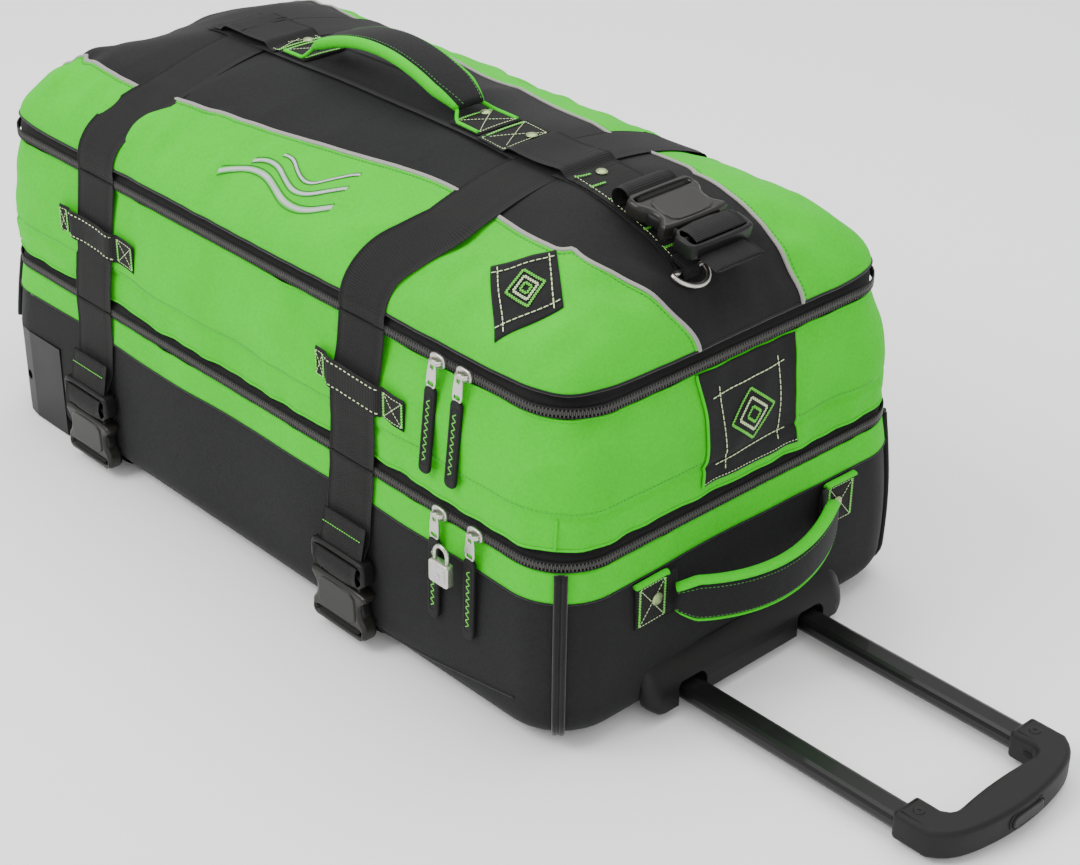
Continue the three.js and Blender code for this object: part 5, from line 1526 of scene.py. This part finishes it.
def make_lid_patch():
    """The small square patch on the lid's near corner, and the stitched waves further back."""
    u, v = 0.2545, -0.127
    half = 0.0235
    turn = 0.82
    grid = np.linspace(-1, 1, 24)
    a, b = np.meshgrid(grid * half, grid * half * 1.26, indexing="xy")
    x = u + a * math.cos(turn) - b * math.sin(turn)
    y = v + (a * math.sin(turn) + b * math.cos(turn)) * 0.86
    rows = on_lid(x, y, 1.0 * MM)[0]
    cloth("lid_patch", rows, "black", "lid", "black_cloth", thick=0.9 * MM)

    def surface(p, q, lift):
        return on_lid(p, v + (q - v) * 0.86, lift)

    motif("lid_patch", surface, u, v, 0.0185, 0.0225, turn, "lid", 1.9 * MM)
    for k in range(3):
        t = np.linspace(0, 1, 60)
        x = -0.062 + 0.020 * k + t * (0.118 - 0.022 * k)
        y = -0.146 + 0.011 * k + 0.008 * np.sin(t * 2 * math.pi + k * 0.7) + 0.012 * t
        path, ups = on_lid(x, y, 0.4 * MM)
        taper = 4.6 * MM * (1 - 0.22 * k)
        zigzag(f"stitched_wave_{k}", [(path, ups)], taper, "silver", "lid", "webbing", 0.8 * MM, 0.45 * MM)
        for edge in (-1, 1):
            rim, ups = on_lid(x, y + edge * taper * 0.62, 0.5 * MM)
            stitches(f"stitched_wave_{k}_rim_{'low' if edge < 0 else 'high'}", [(rim, ups)], "dark_piping",
                     "lid", "webbing", 2.0 * MM, 0.9, 0.36 * MM)


def make_trolley():
    """The tube housing and the pull grip with its button, screws and finger pads."""
    low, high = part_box("trolley_housing")
    tube_low, tube_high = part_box("pull_tube_right")
    x, deep = low[0], high[0] - low[0]
    half = high[1]
    sections = [(x, half, 0.006, high[2], 0.0125), (x + deep * 0.3, half - 0.2 * MM, 0.0055,
                                                    high[2] - 3 * MM, 0.0125),
                (x + deep * 0.62, half - 2 * MM, 0.005, high[2] - 9.5 * MM, 0.012),
                (x + deep * 0.86, half - 4.6 * MM, 0.0053, high[2] - 16.5 * MM, 0.009),
                (x + deep, half - 9 * MM, 0.0068, high[2] - 23 * MM, 0.0045)]
    loops = []
    for place, width, z0, z1, r in sections:
        outline = rounded(width, (z1 - z0) / 2, r, (0, (z0 + z1) / 2), 9)
        loops.append([(place, a, b) for a, b in outline])
    house = loft("trolley_housing_shell", loops, "plastic", "base", "moulded_plastic", sharp=40,
                 replaces=["trolley_housing"])
    mid_y = (tube_low[1] + tube_high[1]) / 2
    for side in (-1, 1):
        hole = rounded(14.5 * MM, 13 * MM, 6 * MM, (side * mid_y, 0.0115), 5)
        cutter_mesh = new_mesh("port", [(px, a, b) for px in (x - 0.01, x + deep + 0.01) for a, b in hole],
                               [tuple(range(len(hole)))[::-1], tuple(range(len(hole), 2 * len(hole)))]
                               + [(k, (k + 1) % len(hole), (k + 1) % len(hole) + len(hole), k + len(hole))
                                  for k in range(len(hole))])
        cutter = bpy.data.objects.new("port", cutter_mesh)
        bpy.context.scene.collection.objects.link(cutter)
        cut = house.modifiers.new("port", "BOOLEAN")
        cut.object = cutter
        cut.solver = "EXACT"
        bpy.context.view_layer.update()
        done = bpy.data.meshes.new_from_object(house.evaluated_get(bpy.context.evaluated_depsgraph_get()))
        house.modifiers.remove(cut)
        house.data = done
        bpy.data.objects.remove(cutter)
        lip = [(x + deep - 5.2 * MM, a, b) for a, b in rounded(15 * MM, 13.6 * MM, 6.4 * MM,
                                                               (side * mid_y, 0.0115), 6)]
        lip = [p for p in lip if p[2] > 0.0055]
        tube(f"port_lip_{'right' if side > 0 else 'left'}", lip, (1, 0, 0), 1.2 * MM, "grip", "base",
             "moulded_plastic", 8)
    house.data.set_sharp_from_angle(angle=math.radians(40))
    make_grip(mid_y)


def make_grip(tube_y):
    low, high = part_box("pull_grip")
    tube_y = abs(tube_y)
    outer_half, inner_half = high[1], 2 * tube_y - high[1]
    rear, thick = low[0], high[2] - low[2]
    front = high[0] - 14 * MM
    t = np.linspace(-1, 1, 33)
    outline = [(front + 14 * MM * (1 - k * k) - 11 * MM * abs(k) ** 9, k * outer_half) for k in t]
    hollow = [(front - GRIP_DEEP - GRIP_BOW * (1 - k * k) - GRIP_CORNER * abs(k) ** 14, k * inner_half)
              for k in t[::-1]]
    corner = lambda side, sign: [(rear + 3.2 * MM - 3.2 * MM * math.cos(a),
                                  side + sign * 3.2 * MM * (1 - math.sin(a)))
                                 for a in np.linspace(0, math.pi / 2, 5)]
    path = outline + corner(outer_half, -1)[::-1] + corner(inner_half, 1) + hollow
    path += corner(-inner_half, -1)[::-1] + corner(-outer_half, 1)
    place = Matrix.Translation((0, 0, (low[2] + high[2]) / 2))
    plate("pull_grip_body", [path], thick, 4.2 * MM, place, "grip", "pull_handle", "moulded_plastic", 5,
          replaces=["pull_grip"])
    for side, name in ((-1, "right"), (1, "left")):
        spot = (rear + 12 * MM, side * tube_y, high[2] - 0.5 * MM)
        profile = [(0.3, 0.2), (1.4, 0.2), (1.6, 0.9), (3.6, 1.0), (4.2, 0.6), (4.4, -0.8), (0.3, -0.8)]
        turned([(r * MM, h * MM) for r, h in profile], spot, (0, 0, 1), (1, 0, 0), f"grip_screw_{name}",
               "plastic", "pull_handle", "moulded_plastic", 28)
        pad = rounded(9 * MM, 2.2 * MM, 2.0 * MM, (0, 0), 5)
        side_place = basis((rear + 22 * MM, side * (inner_half - 0.1 * MM), (low[2] + high[2]) / 2),
                           (1, 0, 0), (0, 0, 1))
        plate(f"grip_pad_{name}", [pad], 2.0 * MM, 0.8 * MM, side_place, "rubber", "pull_handle",
              "moulded_plastic", 2)
    button_low, button_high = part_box("grip_button")
    place = basis(((button_low[0] + button_high[0]) / 2, 0, (button_low[2] + button_high[2]) / 2), (0, 1, 0),
                  (0, 0, 1))
    face = rounded(button_high[1], (button_high[2] - button_low[2]) / 2, 4.6 * MM, (0, 0), 8)
    plate("grip_button_cap", [face], button_high[0] - button_low[0], 1.6 * MM, place, "plastic",
          "grip_button", "moulded_plastic", 3, replaces=["grip_button"])
    ring_place = basis((button_high[0] - 2.4 * MM, 0, (button_low[2] + button_high[2]) / 2), (0, 1, 0),
                       (0, 0, 1))
    rim = rounded(button_high[1] + 2.4 * MM, (button_high[2] - button_low[2]) / 2 + 2.2 * MM, 6.4 * MM,
                  (0, 0), 8)
    gap = rounded(button_high[1] + 0.5 * MM, (button_high[2] - button_low[2]) / 2 + 0.5 * MM, 5.0 * MM,
                  (0, 0), 8)
    plate("grip_button_rim", [rim, gap], 2.4 * MM, 0.8 * MM, ring_place, "grip", "pull_handle",
          "moulded_plastic", 2)


# ---------------------------------------------------------------- wheels, back and inside

def make_wheels():
    for mark in ("right", "left"):
        low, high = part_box(f"wheel_{mark}")
        centre = [(low[k] + high[k]) / 2 for k in range(3)]
        r, half = (high[2] - low[2]) / 2, (high[1] - low[1]) / 2
        tread = [(r - 9 * MM, -half + 4 * MM), (r - 7.5 * MM, -half + 0.6 * MM), (r - 4 * MM, -half),
                 (r - 1.2 * MM, -half + 2 * MM),
                 (r, -half + 5 * MM), (r, -2.4 * MM), (r - 1.1 * MM, -1.6 * MM), (r - 1.1 * MM, 1.6 * MM),
                 (r, 2.4 * MM), (r, half - 5 * MM), (r - 1.2 * MM, half - 2 * MM), (r - 4 * MM, half),
                 (r - 7.5 * MM, half - 0.6 * MM), (r - 9 * MM, half - 4 * MM)]
        turned(tread, centre, (0, 1, 0), (1, 0, 0), f"wheel_{mark}_tyre", "rubber", f"wheel_{mark}",
               "wheel_rubber", 72, replaces=[f"wheel_{mark}"])
        for side in (-1, 1):
            name = f"wheel_{mark}_disc_{'outer' if side < 0 else 'inner'}"
            face = side * (half - 4 * MM)
            profile = [(4.6 * MM, face - side * 6 * MM), (4.6 * MM, face + side * 2.6 * MM),
                       (10 * MM, face + side * 2.6 * MM),
                       (12 * MM, face - side * 1.5 * MM), (r - 13 * MM, face - side * 2 * MM),
                       (r - 11 * MM, face + side * 0.8 * MM),
                       (r - 8.6 * MM, face + side * 0.8 * MM), (r - 8.6 * MM, face - side * 6 * MM)]
            if side > 0:
                profile = profile[::-1]
            turned(profile, centre, (0, 1, 0), (1, 0, 0), name, "wheel_core", f"wheel_{mark}",
                   "wheel_rubber", 48)
            for k in range(5):
                angle = k * 2 * math.pi / 5
                way = Vector((math.cos(angle), 0, math.sin(angle)))
                spot = Vector(centre) + way * 18 * MM + Vector((0, face, 0))
                spoke = rounded(7.5 * MM, 2.4 * MM, 1.4 * MM, (0, 0), 4)
                place = basis(spot, way, (0, 1, 0))
                place = place @ Matrix.Rotation(math.pi / 2, 4, "X")
                plate(f"{name}_spoke_{k}", [spoke], 3.4 * MM, 0.7 * MM, place, "wheel_core", f"wheel_{mark}",
                      "wheel_rubber", 2)
    for node, bevel in (("wheel_housing_right", 2.4), ("wheel_housing_left", 2.4)):
        retouch(node, "plastic", bevel * MM)
    for node in ("axle_right", "axle_left"):
        retouch(node, "steel")


def make_back_and_inside():
    for node in ("skid_right", "skid_middle", "skid_left"):
        retouch(node, "plastic", 0.9 * MM)
    for node in ("pull_tube_right", "pull_tube_left"):
        retouch(node, "tube", 0.6 * MM)
    for node in ("guide_tube_right", "guide_tube_left"):
        retouch(node, "aluminium")
    retouch("back_board", "board", 0.6 * MM)
    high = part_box("divider_panel")[1]
    retouch("divider_panel", "board", 0.6 * MM)
    a, b = high[0] - 1 * MM, high[1] - 1 * MM
    ring = loop_plan(a, b, 0.038)
    path = np.column_stack([ring, np.full(len(ring), high[2] + 0.6 * MM)])
    tube("divider_binding", path, (0, 0, 1), 1.8 * MM, "web", "mid", "webbing", 8, closed=True)
    lines = []
    for x in (-0.22, -0.02, 0.18):
        t = np.linspace(-b + 0.012, b - 0.012, 60)
        lines.append((np.stack([np.full_like(t, x), t, np.full_like(t, high[2] + 0.3 * MM)], axis=1),
                      np.tile((0.0, 0.0, 1.0), (60, 1))))
    stitches("divider_stitch", lines, "pale", "mid", "webbing", 4.0 * MM, 0.6, 0.4 * MM)


# ---------------------------------------------------------------- stage

def make_stage(sizes):
    floor = bpy.data.meshes.new("floor")
    reach = 6.0
    floor.from_pydata([(-reach, -reach, 0), (reach, -reach, 0), (reach, reach, 0), (-reach, reach, 0)], [],
                      [(0, 1, 2, 3)])
    ground = bpy.data.objects.new("floor", floor)
    ground.location.z = -0.0004
    made = Finish("pale_floor")
    made.set(Base_Color=(0.95, 0.95, 0.95, 1), Roughness=0.85)
    floor.materials.append(made.material)
    bpy.context.scene.collection.objects.link(ground)
    ground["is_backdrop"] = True
    world = bpy.data.worlds.new("studio")
    world.use_nodes = True
    world.node_tree.nodes["Background"].inputs[0].default_value = (1, 1, 1, 1)
    world.node_tree.nodes["Background"].inputs[1].default_value = 1.0
    bpy.context.scene.world = world
    for name, place, power, size in (("key", (-0.9, -2.2, 2.6), 84, 1.8),
                                     ("fill", (2.6, -1.4, 1.6), 20, 2.2),
                                     ("top", (-0.2, 0.8, 2.8), 60, 2.4)):
        light = bpy.data.lights.new(name, "AREA")
        light.energy = power
        light.size = size
        lamp = bpy.data.objects.new(name, light)
        lamp.location = place
        aim = Vector((0, 0, 0.2)) - Vector(place)
        lamp.rotation_euler = aim.to_track_quat("-Z", "Y").to_euler()
        bpy.context.scene.collection.objects.link(lamp)
    lens = bpy.data.cameras.new("camera")
    lens.lens = sizes.lens
    lens.sensor_width = 36
    camera = bpy.data.objects.new("camera", lens)
    azimuth, elevation = math.radians(46.595), math.radians(29.967)
    forward = Vector((-math.sin(azimuth) * math.cos(elevation), math.cos(azimuth) * math.cos(elevation),
                      -math.sin(elevation)))
    turn = forward.to_track_quat("-Z", "Y").to_matrix() @ Matrix.Rotation(math.radians(0.72), 3, "Z")
    camera.matrix_world = Matrix.Translation((1.2176, -1.0237, 0.9616)) @ turn.to_4x4()
    bpy.context.scene.collection.objects.link(camera)
    bpy.context.scene.camera = camera


# ---------------------------------------------------------------- add-on

class BagSizes(bpy.types.PropertyGroup):
    """Sizes that a user may set."""

    lens: FloatProperty(name="Lens", description="Camera lens in millimetres", default=73.71, min=20,
                        max=200, unit="CAMERA")


class BagColours(bpy.types.PropertyGroup):
    """Colours that a user may set."""

    green: FloatVectorProperty(name="Green", description="Green cloth", subtype="COLOR",
                               default=(0.028, 0.58, 0.002))
    black: FloatVectorProperty(name="Black", description="Black cloth", subtype="COLOR",
                               default=(0.0115, 0.0115, 0.0120))
    webbing: FloatVectorProperty(name="Webbing", description="Straps", subtype="COLOR",
                                 default=(0.0105, 0.0100, 0.0100))
    plastic: FloatVectorProperty(name="Plastic", description="Moulded parts", subtype="COLOR",
                                 default=(0.0075, 0.0075, 0.0073))
    # Lighter than the moulded black: painted satin sheen on the black buckle sockets.
    satin: FloatVectorProperty(name="Satin_painted_sheen", description="Buckle faces", subtype="COLOR",
                               default=(0.015, 0.0145, 0.0125))
    nickel: FloatVectorProperty(name="Nickel", description="Plated metal", subtype="COLOR",
                                default=(0.62, 0.60, 0.56))


class BAG_OT_finishes(bpy.types.Operator):
    """Make the finishes that every piece uses."""

    bl_idname = "bag.finishes"
    bl_label = "Finishes"

    def execute(self, context):
        make_finishes(context.scene.bag_colours)
        return {"FINISHED"}


class BAG_OT_lower(bpy.types.Operator):
    """Sew the lower compartment, its green band and its corner piping."""

    bl_idname = "bag.lower"
    bl_label = "Lower compartment"

    def execute(self, context):
        make_lower_cloth()
        make_corner_piping()
        return {"FINISHED"}


class BAG_OT_middle(bpy.types.Operator):
    """Sew the green middle section and its front patch."""

    bl_idname = "bag.middle"
    bl_label = "Middle section"

    def execute(self, context):
        make_middle_cloth()
        make_front_patch()
        return {"FINISHED"}


class BAG_OT_lid(bpy.types.Operator):
    """Sew the lid from its three panels, with its patch and stitching."""

    bl_idname = "bag.lid"
    bl_label = "Lid"

    def execute(self, context):
        make_lid_cloth()
        make_lid_patch()
        return {"FINISHED"}


class BAG_OT_zips(bpy.types.Operator):
    """Lay both zips, their sliders, pulls and padlock, and the cloth hinges."""

    bl_idname = "bag.zips"
    bl_label = "Zips"

    def execute(self, context):
        make_zips()
        make_sliders()
        return {"FINISHED"}


class BAG_OT_straps(bpy.types.Operator):
    """Run both straps with their keepers and side-release buckles."""

    bl_idname = "bag.straps"
    bl_label = "Straps and buckles"

    def execute(self, context):
        make_straps()
        return {"FINISHED"}


class BAG_OT_top(bpy.types.Operator):
    """Make the webbing line along the top and its padded handle."""

    bl_idname = "bag.top"
    bl_label = "Top line and handle"

    def execute(self, context):
        make_top_line()
        make_top_handle()
        return {"FINISHED"}


class BAG_OT_front(bpy.types.Operator):
    """Make the haul handle, the trolley housing and the pull grip."""

    bl_idname = "bag.front"
    bl_label = "Front end"

    def execute(self, context):
        make_haul_handle()
        make_trolley()
        return {"FINISHED"}


class BAG_OT_back(bpy.types.Operator):
    """Make the wheels and finish the back and the inside."""

    bl_idname = "bag.back"
    bl_label = "Wheels, back and inside"

    def execute(self, context):
        make_wheels()
        make_back_and_inside()
        return {"FINISHED"}


class BAG_OT_stage(bpy.types.Operator):
    """Lay the floor and set the lights and the camera."""

    bl_idname = "bag.stage"
    bl_label = "Stage"

    def execute(self, context):
        make_stage(context.scene.bag_sizes)
        return {"FINISHED"}


STEPS = ("stage", "finishes", "lower", "middle", "lid", "zips", "straps", "top", "front", "back")


class BAG_PT_panel(bpy.types.Panel):
    """The bag's sizes, colours and steps."""

    bl_idname = "BAG_PT_panel"
    bl_label = "Rolling bag"
    bl_space_type = "VIEW_3D"
    bl_region_type = "UI"
    bl_category = "Rolling bag"

    def draw(self, context):
        for group in (context.scene.bag_sizes, context.scene.bag_colours):
            for key in group.__annotations__:
                self.layout.prop(group, key)
        for step in STEPS:
            self.layout.operator(f"bag.{step}")


CLASSES = (BagSizes, BagColours, BAG_OT_finishes, BAG_OT_lower, BAG_OT_middle, BAG_OT_lid, BAG_OT_zips,
           BAG_OT_straps, BAG_OT_top, BAG_OT_front, BAG_OT_back, BAG_OT_stage, BAG_PT_panel)


def register():
    for kind in CLASSES:
        bpy.utils.register_class(kind)
    bpy.types.Scene.bag_sizes = PointerProperty(type=BagSizes)
    bpy.types.Scene.bag_colours = PointerProperty(type=BagColours)


def unregister():
    del bpy.types.Scene.bag_sizes
    del bpy.types.Scene.bag_colours
    for kind in reversed(CLASSES):
        bpy.utils.unregister_class(kind)


def main():
    register()
    for step in STEPS:
        getattr(bpy.ops.bag, step)()
    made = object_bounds()
    sizes = {"cad": [list(map(float, corner)) for corner in CAD_BOX],
             "visual": [list(map(float, corner)) for corner in made]}


if __name__ == "__main__":
    main()
